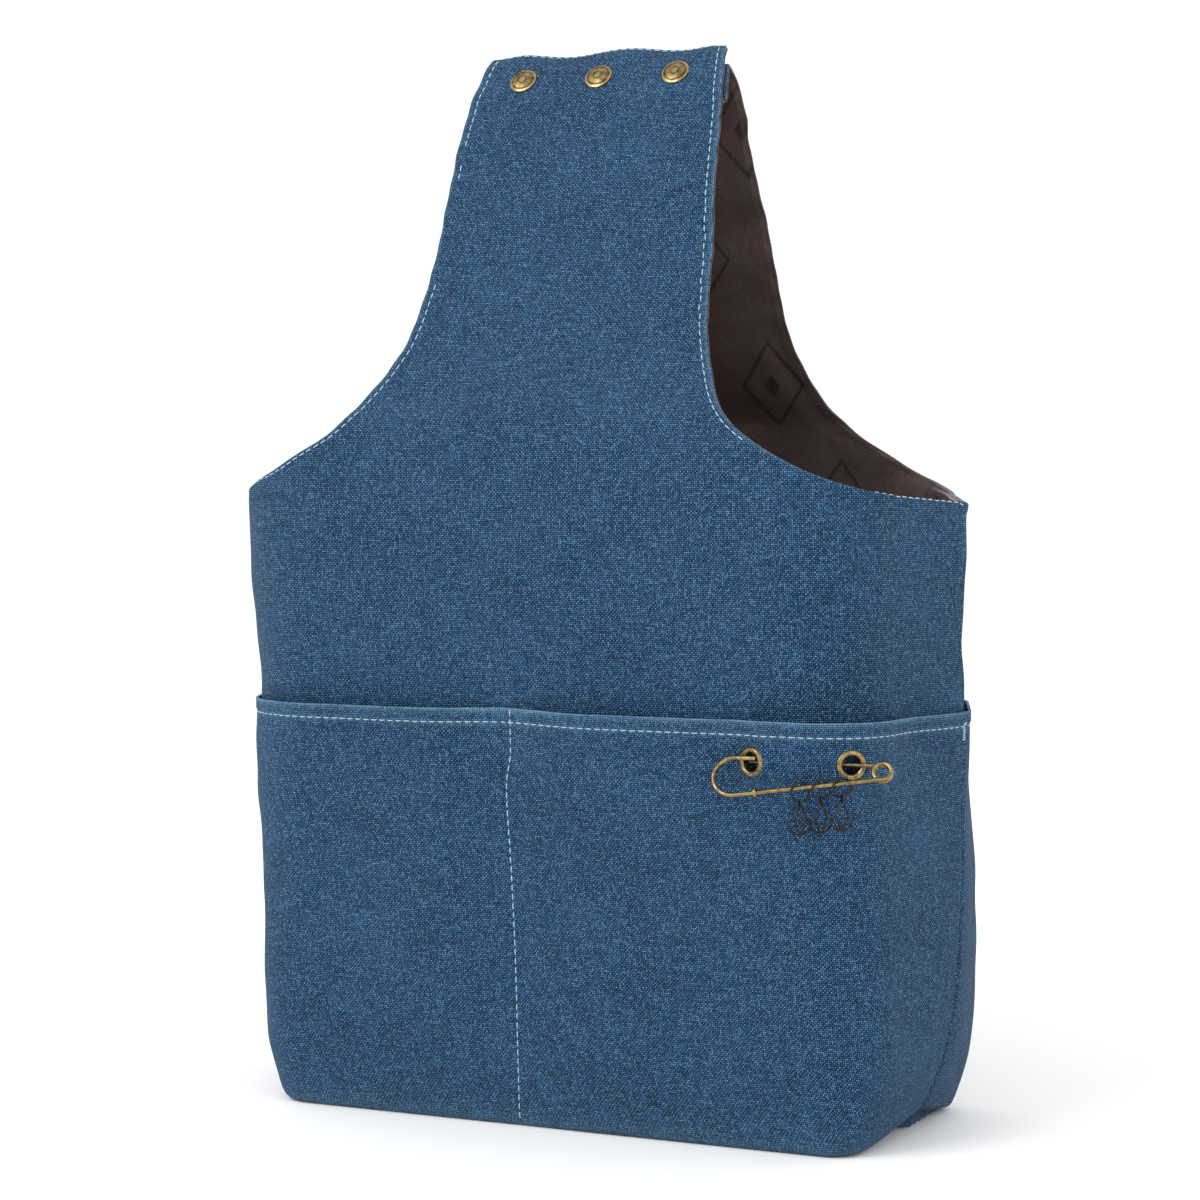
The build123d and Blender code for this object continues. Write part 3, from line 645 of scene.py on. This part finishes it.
class Panel:
    """One side of the bag as level rows, each a line of points from the middle to its right edge."""

    def __init__(self, profile, facing):
        self.facing = facing
        self.rows = []
        run = 0.0
        last = None
        for depth, z in profile:
            here = np.array([depth, z])
            run += 0 if last is None else float(np.linalg.norm(here - last))
            last = here
            if z < NECK:
                tuck = base_tuck(z)
                turn = float(wall_turn(z, facing))
                x, y = section_curve(half_width(z) - tuck, depth - tuck, corner_radius(z) - 0.5 * tuck, turn)
                length = along(x, y)
                limit = length[-1]
                edge = strap_edge(z)
                if z > MOUTH_EDGE and edge < half_width(z):
                    limit = np.interp(edge, x, length)
            else:
                limit = float(strap_edge(z))
                length = np.array([0, 1.2 * limit])
                x, y = length, np.array([-depth, -depth])
            self.rows.append(Row(z, x, y, length, float(limit), run, depth))
        self.rows = [row._replace(limit=row.limit - corner_round(run - row.run)) for row in self.rows]
        path = np.array(profile)
        slope = np.gradient(path, axis=0)
        slope /= np.linalg.norm(slope, axis=1)[:, None]
        widths = np.array([float(half_width(z)) for z in path[:, 1]])
        spread = np.gradient(widths) / np.maximum(np.gradient(path[:, 1]), 1e-6)
        spread = np.where(path[:, 1] < NECK, spread, 0.0)
        self.slopes = [(rise, fall, side) for (fall, rise), side in zip(slope, spread)]
        foot = self.rows[0]
        bottom = []
        for share in (0.0, 0.12, 0.25, 0.4, 0.55, 0.7, 0.85):
            fold = foot.y * share
            length = along(foot.x, fold)
            run, depth = -foot.depth * (1 - share), foot.depth * share
            bottom.append(Row(0.0, foot.x, fold, length, float(length[-1]), run, depth))
        self.rows = bottom + self.rows
        self.slopes = [None] * len(bottom) + self.slopes

    def point(self, row, run):
        """Point at a distance along a row from its middle."""
        x = np.interp(np.abs(run), row.length, row.x) * np.sign(run)
        y = np.interp(np.abs(run), row.length, row.y)
        z = np.full(np.shape(run), row.z)
        return settle(x, self.facing * -y, z, half_width(row.z), max(abs(row.depth), 1 * MM))

    def normal(self, index, run):
        """Outward directions at distances along a row."""
        row = self.rows[index]
        if self.slopes[index] is None:
            return np.tile((0.0, 0.0, -1.0), (len(run), 1))
        rise, fall, spread = self.slopes[index]
        tangent_x, tangent_y = np.gradient(row.x, row.length), np.gradient(row.y, row.length)
        across_x = np.interp(np.abs(run), row.length, tangent_y)
        across_y = np.interp(np.abs(run), row.length, -tangent_x)
        size = np.hypot(across_x, across_y)
        across_x, across_y = across_x / size, across_y / size
        up = -(np.abs(across_y) * fall + np.abs(across_x) * spread * rise)
        normal = np.stack([across_x * np.sign(run) * rise, -self.facing * across_y * rise, up], axis=1)
        return normal / np.linalg.norm(normal, axis=1)[:, None]

    def grid(self, extra=0.0, count=150):
        """Points, weave coordinates, distances from the side edges and outward directions of the cloth."""
        inner, outer = edge_columns(count)
        points, uv, distance, normals = [], [], [], []
        for index, row in enumerate(self.rows):
            limit = row.limit + (extra if row.z > MOUTH_EDGE else 0.0)
            edge = limit - outer
            run = np.sort(np.concatenate([-edge, inner[1:-1] * edge[0], edge]))
            points.append(self.point(row, run))
            uv.append(np.stack([run, np.full(len(run), row.run)], axis=1))
            distance.append(limit - np.abs(run))
            normals.append(self.normal(index, run))
        return np.array(points), np.array(uv), np.array(distance), np.array(normals)

    def line(self, inset, low, high):
        """Paths at a distance inside both side edges, between two row runs."""
        picked = [row for row in self.rows if low <= row.run <= high]
        paths = []
        for side in (-1, 1):
            points = [self.point(row, np.array([side * (row.limit - inset)]))[0] for row in picked]
            paths.append(np.array(points))
        return paths

    def across(self, run_from_end, reach):
        """Path across the strap at a distance from its free end."""
        target = self.rows[-1].run - run_from_end
        row = min(self.rows, key=lambda r: abs(r.run - target))
        return self.point(row, np.linspace(-reach, reach, 60))


def settle(x, y, z, width, depth):
    """Let the cloth stand as it does in use: a sideways sway and lifted corners at the base."""
    near_side = smoothstep(np.abs(x) / width, 0.86, 1.0)
    middle = 1 - np.clip(np.abs(y) / np.maximum(depth, 1 * MM), 0, 1)
    lift = CORNER_LIFT * near_side * middle**1.3 * (1 - smoothstep(z, 0.0, 0.07))
    wave = 1.1 * MM * np.sin(x / (8.6 * MM) + 0.6) * smoothstep(z, 0.463, 0.470)
    wave = wave * (1 - smoothstep(np.abs(x), 0.040, 0.055))
    return np.stack([x + sway(z), y, z + lift + wave], axis=-1)


def hardware_free(points):
    """Share of free movement of the cloth, none at the snaps."""
    from_snaps = np.abs(points[..., 2] - SNAP_CENTRE.z)
    return np.where(points[..., 2] > 0.40, smoothstep(from_snaps, 0.012, 0.035), 1.0)


def wrinkle(grid, normals, facing):
    """Soft dents and folds of a canvas bag that stands open, with drag lines at the armhole corners."""
    flat = grid.reshape(-1, 3)
    seed = 3.0 if facing < 0 else 11.0
    broad = cloth_noise(flat * (1, 1, 0.8), 0.085, seed)
    middle = cloth_noise(flat * (1.0, 1, 1.7), 0.034, seed + 5)
    fine = cloth_noise(flat * (1.3, 1, 0.7), 0.013, seed + 9)
    amount = 2.2 * MM * broad + 0.9 * MM * middle + 0.22 * MM * fine
    amount = amount.reshape(grid.shape[:2])
    z = grid[..., 2]
    amount = amount * hardware_free(grid) * smoothstep(z, 0.0, 0.03)
    reach = np.abs(grid[..., 0]) / MOUTH_WIDTH
    pull = np.sin((z - ARMHOLE + 0.35 * np.abs(grid[..., 0])) / 0.0125)
    near_corner = smoothstep(reach, 0.35, 0.6) * (1 - smoothstep(reach, 0.85, 1.0))
    pull_zone = near_corner * np.exp(-(((z - 0.262) / 0.035) ** 2))
    amount = amount + 0.5 * MM * pull * pull_zone
    return grid + normals * amount[..., None]


def side_seam(distance):
    """How far the cloth sinks into a side seam, by its distance from the edge."""
    return SEAM_DEPTH * np.clip(1 - distance / SEAM_REACH, 0, 1) ** SEAM_SHARPNESS


def press_edges(grid, normals, distance, groove):
    """Press in the top stitching along the armholes and the seams along the sides."""
    above = smoothstep(grid[..., 2], 0.2712, 0.2722)
    dip = groove * np.exp(-(((distance - STITCH_INSET) / (0.8 * MM)) ** 2)) * above
    pucker = 0.3 * MM * np.sin(grid[..., 2] / 0.0021) * np.exp(-((distance / (4 * MM)) ** 2)) * above
    seam = side_seam(distance) * (1 - smoothstep(grid[..., 2], 0.262, 0.270))
    return grid + normals * (pucker - dip - seam)[..., None]


def make_panel(panel, name, lining_name):
    """The canvas of one side and the lining behind it, both as closed sheets."""
    grid, uv, distance, normals = panel.grid()
    grid = press_edges(wrinkle(grid, normals, panel.facing), normals, distance, 0.32 * MM)
    height = grid[..., 2]
    worn = 0.55 * np.exp(-distance / WEAR_REACH) * (height > 0.25)
    worn += 0.5 * np.exp(-height / FOOT_WEAR_REACH)
    cloth = cloth_mesh(name, grid, uv, CANVAS, normals, wear=np.clip(worn, 0, 1))
    cloth.data.materials.append(CANVAS_BLUE)
    inside, uv, distance, normals = panel.grid(extra=0.35 * MM)
    inside = press_edges(wrinkle(inside, normals, panel.facing), normals, distance, 0.2 * MM)
    hug = np.exp(-distance / (2.5 * MM)) * 0.28 * MM
    folds = cloth_noise(inside.reshape(-1, 3) * (1, 1, 0.45), 0.022, 50 + panel.facing)
    loose = 0.5 + folds.reshape(distance.shape)
    loose = np.clip(loose, 0, 1.2) * smoothstep(distance, 4 * MM, 16 * MM) * hardware_free(inside)
    inside = inside - normals * (CANVAS + LAYER_GAP - hug + 1.6 * MM * loose)[..., None]
    lining = cloth_mesh(lining_name, inside, uv, SATIN, normals)
    lining.data.materials.append(SATIN_BROWN)
    return cloth, lining


# ---------------------------------------------------------------- pockets
def pocket_depth(z):
    """Half depth of the outside of a pocket."""
    return half_depth(z) + CANVAS + LAYER_GAP + STAND_OFF * z / POCKET_TOP


def bulge_at(z):
    """Share of the fullness that the closed pin gathers in the front pocket."""
    return smooth_curve(z, [0.128, 0.152, 0.164, 0.183], [0.0, 0.38, 1.0, 1.0])


def hermite(points, tangents, count=60):
    """Smooth line through points that leaves each in the given direction."""
    line = []
    for a, b, ta, tb in zip(points, points[1:], tangents, tangents[1:]):
        a, b = np.asarray(a), np.asarray(b)
        chord = np.linalg.norm(b - a)
        ta = np.asarray(ta) / np.linalg.norm(ta) * chord
        tb = np.asarray(tb) / np.linalg.norm(tb) * chord
        t = np.linspace(0, 1, count, endpoint=False)[:, None]
        leave = (2 * t**3 - 3 * t**2 + 1) * a + (t**3 - 2 * t**2 + t) * ta
        arrive = (3 * t**2 - 2 * t**3) * b + (t**3 - t**2) * tb
        line.append(leave + arrive)
    line.append(np.asarray(points[-1])[None])
    return np.concatenate(line)


def pocket_section(z, front):
    """Level section of a pocket from the left side seam to the right one."""
    turn = float(wall_turn(z, -1 if front else 1))
    width = half_width(z) + (CANVAS + LAYER_GAP) / math.sin(turn)
    depth = pocket_depth(z)
    radius = corner_radius(z) + CANVAS
    x, y = section_curve(width, depth, radius, turn, 240)
    right = np.stack([x, y], axis=1)
    plain = np.concatenate([right[::-1] * (-1, 1), right[1:]])
    bulge = float(bulge_at(z)) if front else 0.0
    if bulge <= 0:
        return plain
    wall = (depth - radius * (1 - math.cos(turn))) / math.sin(turn)
    flat_end = width - wall * math.cos(turn) - radius * math.sin(turn)
    start = LEFT_SEAT.x - 16 * MM
    left = plain[plain[:, 0] < start]
    peak = flat_end + bulge * (LEFT_SEAT.x + 15.5 * MM - flat_end)
    half_turn = turn / 2
    shoulder_x = flat_end + radius * math.sin(half_turn)
    plain_shoulder = np.array([shoulder_x, -depth + radius * (1 - math.cos(half_turn))])
    pinned_shoulder = np.array([RIGHT_SEAT.x, RIGHT_SEAT.y - depth + pocket_depth(EYELET_HEIGHT)])
    shoulder = plain_shoulder * (1 - bulge) + pinned_shoulder * bulge
    shoulder_turn = half_turn + (RIGHT_TURN - half_turn) * bulge
    reach = wall + (0.45 * depth / math.sin(turn) - wall) * bulge
    wall_start = (width - reach * math.cos(turn), -reach * math.sin(turn))
    points = [
        (start, -depth),
        (LEFT_SEAT.x, -depth - 0.75 * BULGE * bulge),
        (peak, -depth - BULGE * bulge),
        shoulder,
        wall_start,
    ]
    tangents = [
        (1, 0),
        (math.cos(LEFT_TURN * bulge), math.sin(LEFT_TURN * bulge)),
        (1, 0),
        (math.cos(shoulder_turn), math.sin(shoulder_turn)),
        (math.cos(turn), math.sin(turn)),
    ]
    gathered = hermite(points, tangents)
    share = np.linspace(0, 1, 40)[1:, None]
    rest = np.array(wall_start) * (1 - share) + np.array([width, 0.0]) * share
    return np.concatenate([left, gathered, rest])


def seat_flat(grid, seat, axis):
    """Press the cloth flat around an eyelet."""
    offset = grid - np.array(seat)
    level = offset @ np.array(axis)
    radial = np.linalg.norm(offset - level[..., None] * np.array(axis), axis=-1)
    near = (1 - smoothstep(radial, 6.4 * MM, 11 * MM)) * (np.abs(level) < 15 * MM)
    return grid - (near * level)[..., None] * np.array(axis)


def pocket_grid(front):
    """Points, weave coordinates and distances from the side seams of a pocket."""
    top = POCKET_TOP
    dense_low, dense_high = (0.156, 0.177) if front else (0.17, 0.177)
    heights = np.concatenate(
        [
            np.linspace(0.6 * MM, 0.006, 9)[:-1],
            np.linspace(0.006, dense_low, 64)[:-1],
            np.linspace(dense_low, dense_high, 26 if front else 4)[:-1],
            np.linspace(dense_high, top - 1.2 * MM, 4)[:-1],
            top - np.array([1.2, 0.6, 0.3, 0.1, 0.0]) * MM,
        ]
    )
    sections = []
    for z in heights:
        line = pocket_section(z, front)
        tuck = float(base_tuck(z))
        line = line * np.array([1 - tuck / half_width(z), 1 - tuck / pocket_depth(z)])
        length = along(line[:, 0], line[:, 1])
        sections.append((z, line, length))
    _, line, length = sections[int(np.argmin(np.abs(heights - EYELET_HEIGHT)))]
    total = length[-1]
    edges = np.array([0.0, 0.4, 1.0, 2.0, 3.5]) * MM / total
    marks = list(edges) + list(1 - edges)
    if front:
        for seat in (LEFT_SEAT, RIGHT_SEAT):
            nearest = np.argmin(np.hypot(line[:, 0] - seat.x, line[:, 1] - seat.y))
            centre = length[nearest] / total
            marks += list(centre + np.arange(-9.5, 9.6, 0.75) * MM / total)
        nearest = np.argmin(np.abs(line[:, 0] - DIVIDER) + (line[:, 1] > 0))
        centre = length[nearest] / total
        marks += list(centre + np.arange(-6, 6.1, 0.8) * MM / total)
    marks = np.array(sorted(marks))
    plain = np.arange(0, total, 2.3 * MM) / total
    plain = plain[[np.min(np.abs(marks - p)) > 0.9 * MM / total for p in plain]]
    shares = np.sort(np.concatenate([marks, plain]))
    grid, uv, distance = [], [], []
    for z, line, length in sections:
        run = shares * length[-1]
        x = np.interp(run, length, line[:, 0])
        y = np.interp(run, length, line[:, 1])
        y = y if front else -y
        grid.append(settle(x, y, np.full(len(run), z), half_width(z), pocket_depth(z)))
        uv.append(np.stack([run, np.full(len(run), z)], axis=1))
        distance.append(np.minimum(run, length[-1] - run))
    return np.array(grid), np.array(uv), np.array(distance)


def make_pocket(name, front):
    """A pocket's cloth with its hem, seams, divider and eyelet openings, and the grid it is made of."""
    grid, uv, distance = pocket_grid(front)
    facing = -1 if front else 1
    normals = outward_normals(grid, facing)
    flat = grid.reshape(-1, 3)
    seed = 21.0 if front else 33.0
    broad = cloth_noise(flat * (1, 1, 0.8), 0.07, seed)
    middle = cloth_noise(flat * (1, 1, 1.5), 0.028, seed)
    fine = cloth_noise(flat * (1.3, 1, 0.7), 0.012, seed + 4)
    amount = (1.7 * MM * broad + 0.7 * MM * middle + 0.2 * MM * fine).reshape(grid.shape[:2])
    z = grid[..., 2]
    side_hold = smoothstep(distance, 0.0, 12 * MM)
    amount = (amount + 1.0 * MM) * smoothstep(z, 0.0, 0.03) * side_hold
    below_hem = POCKET_TOP - z
    amount -= 0.35 * MM * np.exp(-(((below_hem - HEM) / (0.8 * MM)) ** 2))
    amount += 0.45 * MM * (1 - smoothstep(below_hem, HEM - 1 * MM, HEM + 0.6 * MM))
    amount -= side_seam(distance)
    if front:
        eased = 1.0
        for seat in (LEFT_SEAT, RIGHT_SEAT):
            away = np.linalg.norm(grid - np.array(seat), axis=-1)
            eased = eased * smoothstep(away, 7 * MM, 26 * MM)
        amount = amount * eased
        gap = LAYER_GAP + STAND_OFF * z / POCKET_TOP
        line = np.abs(grid[..., 0] - sway(z) - DIVIDER)
        pinch = np.exp(-((line / (24 * MM)) ** 2)) * 0.8 + np.exp(-((line / (0.9 * MM)) ** 2)) * 0.08
        on_front = grid[..., 1] < 0
        amount = amount * (1 - pinch * on_front) - (gap - 0.1 * MM) * pinch * on_front
    grid = grid + normals * amount[..., None]
    drop = None
    if front:
        holes = np.zeros((grid.shape[0] - 1, grid.shape[1] - 1), bool)
        for seat, axis in ((LEFT_SEAT, LEFT_AXIS), (RIGHT_SEAT, RIGHT_AXIS)):
            grid = seat_flat(grid, seat, axis)
            centres = (grid[:-1, :-1] + grid[1:, 1:] + grid[:-1, 1:] + grid[1:, :-1]) / 4 - np.array(seat)
            level = centres @ np.array(axis)
            radial = np.linalg.norm(centres - level[..., None] * np.array(axis), axis=-1)
            holes |= (radial < EYELET_OPENING) & (np.abs(level) < 3 * MM)
        drop = holes
    normals = outward_normals(grid, facing)
    worn = np.exp(-(POCKET_TOP - grid[..., 2]) / (1.0 * MM)) + 0.4 * np.exp(-grid[..., 2] / FOOT_WEAR_REACH)
    worn += 0.35 * np.exp(-(((POCKET_TOP - grid[..., 2] - HEM) / (1.2 * MM)) ** 2))
    cloth = cloth_mesh(name, grid, uv, CANVAS, normals, wear=np.clip(worn, 0, 1), drop=drop)
    cloth.data.materials.append(CANVAS_BLUE)
    return cloth, grid


# ---------------------------------------------------------------- build the pieces
front = Panel(front_profile(), -1)
back = Panel(back_profile(), 1)
front_cloth, front_lining = make_panel(front, "front_panel_cloth", "front_lining_cloth")
back_cloth, back_lining = make_panel(back, "back_panel_cloth", "back_lining_cloth")
front_pocket, front_pocket_points = make_pocket("front_pocket_cloth", True)
back_pocket, back_pocket_points = make_pocket("back_pocket_cloth", False)


def armhole_stitches(panel, cloth, name):
    """Top stitching along both armholes of a panel and across its strap's end."""
    start = min(row.run for row in panel.rows if row.z > 0.2700)
    end = panel.rows[-1]
    paths = panel.line(STITCH_INSET, start, end.run - STITCH_INSET)
    paths.append(panel.across(STITCH_INSET, end.limit - STITCH_INSET))
    return stitch_row(name, paths, tree_of(cloth), THREAD)


def pocket_stitches(grid, cloth, name, divider=False):
    """Stitching under a pocket's hem, and down its divider if it has one."""
    heights = grid[:, grid.shape[1] // 3, 2]
    row = int(np.argmin(np.abs(heights - (POCKET_TOP - HEM))))
    paths = [grid[row, 3:-3]]
    if divider:
        middle = grid[60]
        off_divider = np.abs(middle[:, 0] - sway(middle[0, 2]) - DIVIDER) + (middle[:, 1] > 0)
        column = int(np.argmin(off_divider))
        paths.append(grid[4:, column])
    return stitch_row(name, paths, tree_of(cloth), THREAD)


front_stitches = armhole_stitches(front, front_cloth, "front_top_stitching")
back_stitches = armhole_stitches(back, back_cloth, "back_top_stitching")
pocket_seams = pocket_stitches(front_pocket_points, front_pocket, "front_pocket_stitching", True)
back_pocket_seams = pocket_stitches(back_pocket_points, back_pocket, "back_pocket_stitching")


def bartack(name, side):
    """A short dense bar of stitches where the pocket's top meets the side seam."""
    paths = []
    for k in range(9):
        z = POCKET_TOP - 5 * MM - k * 0.85 * MM
        x = side * (half_width(z) + 1.4 * MM) + float(sway(z))
        paths.append(np.array([(x, -3.5 * MM, z), (x, -0.8 * MM, z + 0.3 * MM)]))
    return stitch_row(name, paths, tree_of(front_pocket), THREAD, pitch=2.6 * MM, radius=0.3 * MM, fill=1.0)


tacks = [bartack("pocket_bartack_right", 1), bartack("pocket_bartack_left", -1)]

for piece, nodes in (
    (front_cloth, ("front_panel", "front_strap_end")),
    (front_lining, ("front_lining", "front_strap_end_lining")),
    (front_stitches, ()),
):
    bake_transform(piece)
    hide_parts(*nodes)
for piece, nodes in (
    (back_cloth, ("back_panel",)),
    (back_lining, ("back_lining",)),
    (front_pocket, ("front_pocket",)),
    (back_pocket, ("back_pocket",)),
    (back_stitches, ()),
    (pocket_seams, ()),
    (back_pocket_seams, ()),
    (tacks[0], ()),
    (tacks[1], ()),
):
    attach(piece, "root")
    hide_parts(*nodes)



def cap_ring(name, place, radius, wire):
    """Raised ring on a snap cap's dome."""
    axis = Vector((0, -math.cos(SNAP_TILT), math.sin(SNAP_TILT)))
    across = Vector((1, 0, 0))
    beside = axis.cross(across)
    level = CAP_HEIGHT - (DOME_RADIUS - math.sqrt(DOME_RADIUS**2 - radius**2))
    turns, sides = 40, 8
    points, faces = [], []
    for i in range(turns):
        outward = across * math.cos(2 * math.pi * i / turns) + beside * math.sin(2 * math.pi * i / turns)
        for j in range(sides):
            angle = 2 * math.pi * j / sides
            out = radius + wire * math.cos(angle)
            points.append(place + outward * out + axis * (level + wire * math.sin(angle)))
    for i in range(turns):
        for j in range(sides):
            a, b = i * sides + j, i * sides + (j + 1) % sides
            c, d = ((i + 1) % turns) * sides + (j + 1) % sides, ((i + 1) % turns) * sides + j
            faces.append((a, b, c, d))
    ring = rounded_mesh(name, points, faces, BRASS)
    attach(ring, "strap_flap")
    return ring


for k in (-1, 0, 1):
    cap = SNAP_CENTRE + Vector((k * SNAP_SPACING, 0, 0))
    cap_ring("snap_cap_rim_{}".format(k + 2), cap, *CAP_RIM)
    cap_ring("snap_cap_motif_{}".format(k + 2), cap, *CAP_MOTIF)

def finish_metal(names, material):
    """Give CAD pieces their metal finish."""
    for name in names:
        slots = bpy.data.objects[name].data.materials
        slots.clear()
        slots.append(material)


for k in (1, 2, 3):
    finish_metal([pattern.format(k) for pattern in SNAP_PIECES], BRASS)
    finish_metal([pattern.format(k) for pattern in HANGING_PIECES], BRONZE)
finish_metal(BRASS_PIECES, BRASS)


# ---------------------------------------------------------------- stage, light and camera
def add_light(name, place, target, size, power):
    """A soft area light that looks at a target."""
    data = bpy.data.lights.new(name, "AREA")
    data.size = size
    data.energy = power
    light = place_in_scene(name, data)
    light.location = place
    light.rotation_euler = (Vector(target) - Vector(place)).to_track_quat("-Z", "Y").to_euler()


def add_floor():
    """A wide pale floor."""
    mesh = bpy.data.meshes.new("floor")
    reach = 12.0
    corners = [(-reach, -reach, 0), (reach, -reach, 0), (reach, reach, 0), (-reach, reach, 0)]
    mesh.from_pydata(corners, [], [(0, 1, 2, 3)])
    material = bpy.data.materials.new("pale_floor")
    material.use_nodes = True
    shader = material.node_tree.nodes["Principled BSDF"]
    shader.inputs["Base Color"].default_value = colour(0.93, 0.93, 0.93)
    shader.inputs["Roughness"].default_value = 0.9
    shader.inputs["Specular IOR Level"].default_value = 0.1
    mesh.materials.append(material)
    place_in_scene("floor", mesh)


def add_world():
    """Even white surroundings, with colours shown as they are."""
    world = bpy.data.worlds.new("studio")
    world.use_nodes = True
    background = world.node_tree.nodes["Background"]
    background.inputs[0].default_value = colour(1, 1, 1)
    background.inputs[1].default_value = 1.15
    bpy.context.scene.world = world
    bpy.context.scene.view_settings.view_transform = "Standard"
    bpy.context.scene.view_settings.look = "None"


def add_camera():
    """Camera in front of the bag and to its right, a little above the middle of its height."""
    data = bpy.data.cameras.new("camera")
    data.sensor_width = CAMERA_SENSOR
    data.lens = CAMERA_LENS
    camera = place_in_scene("camera", data)
    camera.location = CAMERA_PLACE
    camera.rotation_euler = CAMERA_AIM.to_track_quat("-Z", "Y").to_euler()
    bpy.context.scene.camera = camera


add_floor()
add_light("key", (-1.4, -2.4, 2.2), (0, 0, 0.2), 1.8, 55)
add_light("fill", (2.4, -1.6, 1.2), (0, 0, 0.2), 2.0, 16)
add_world()
add_camera()
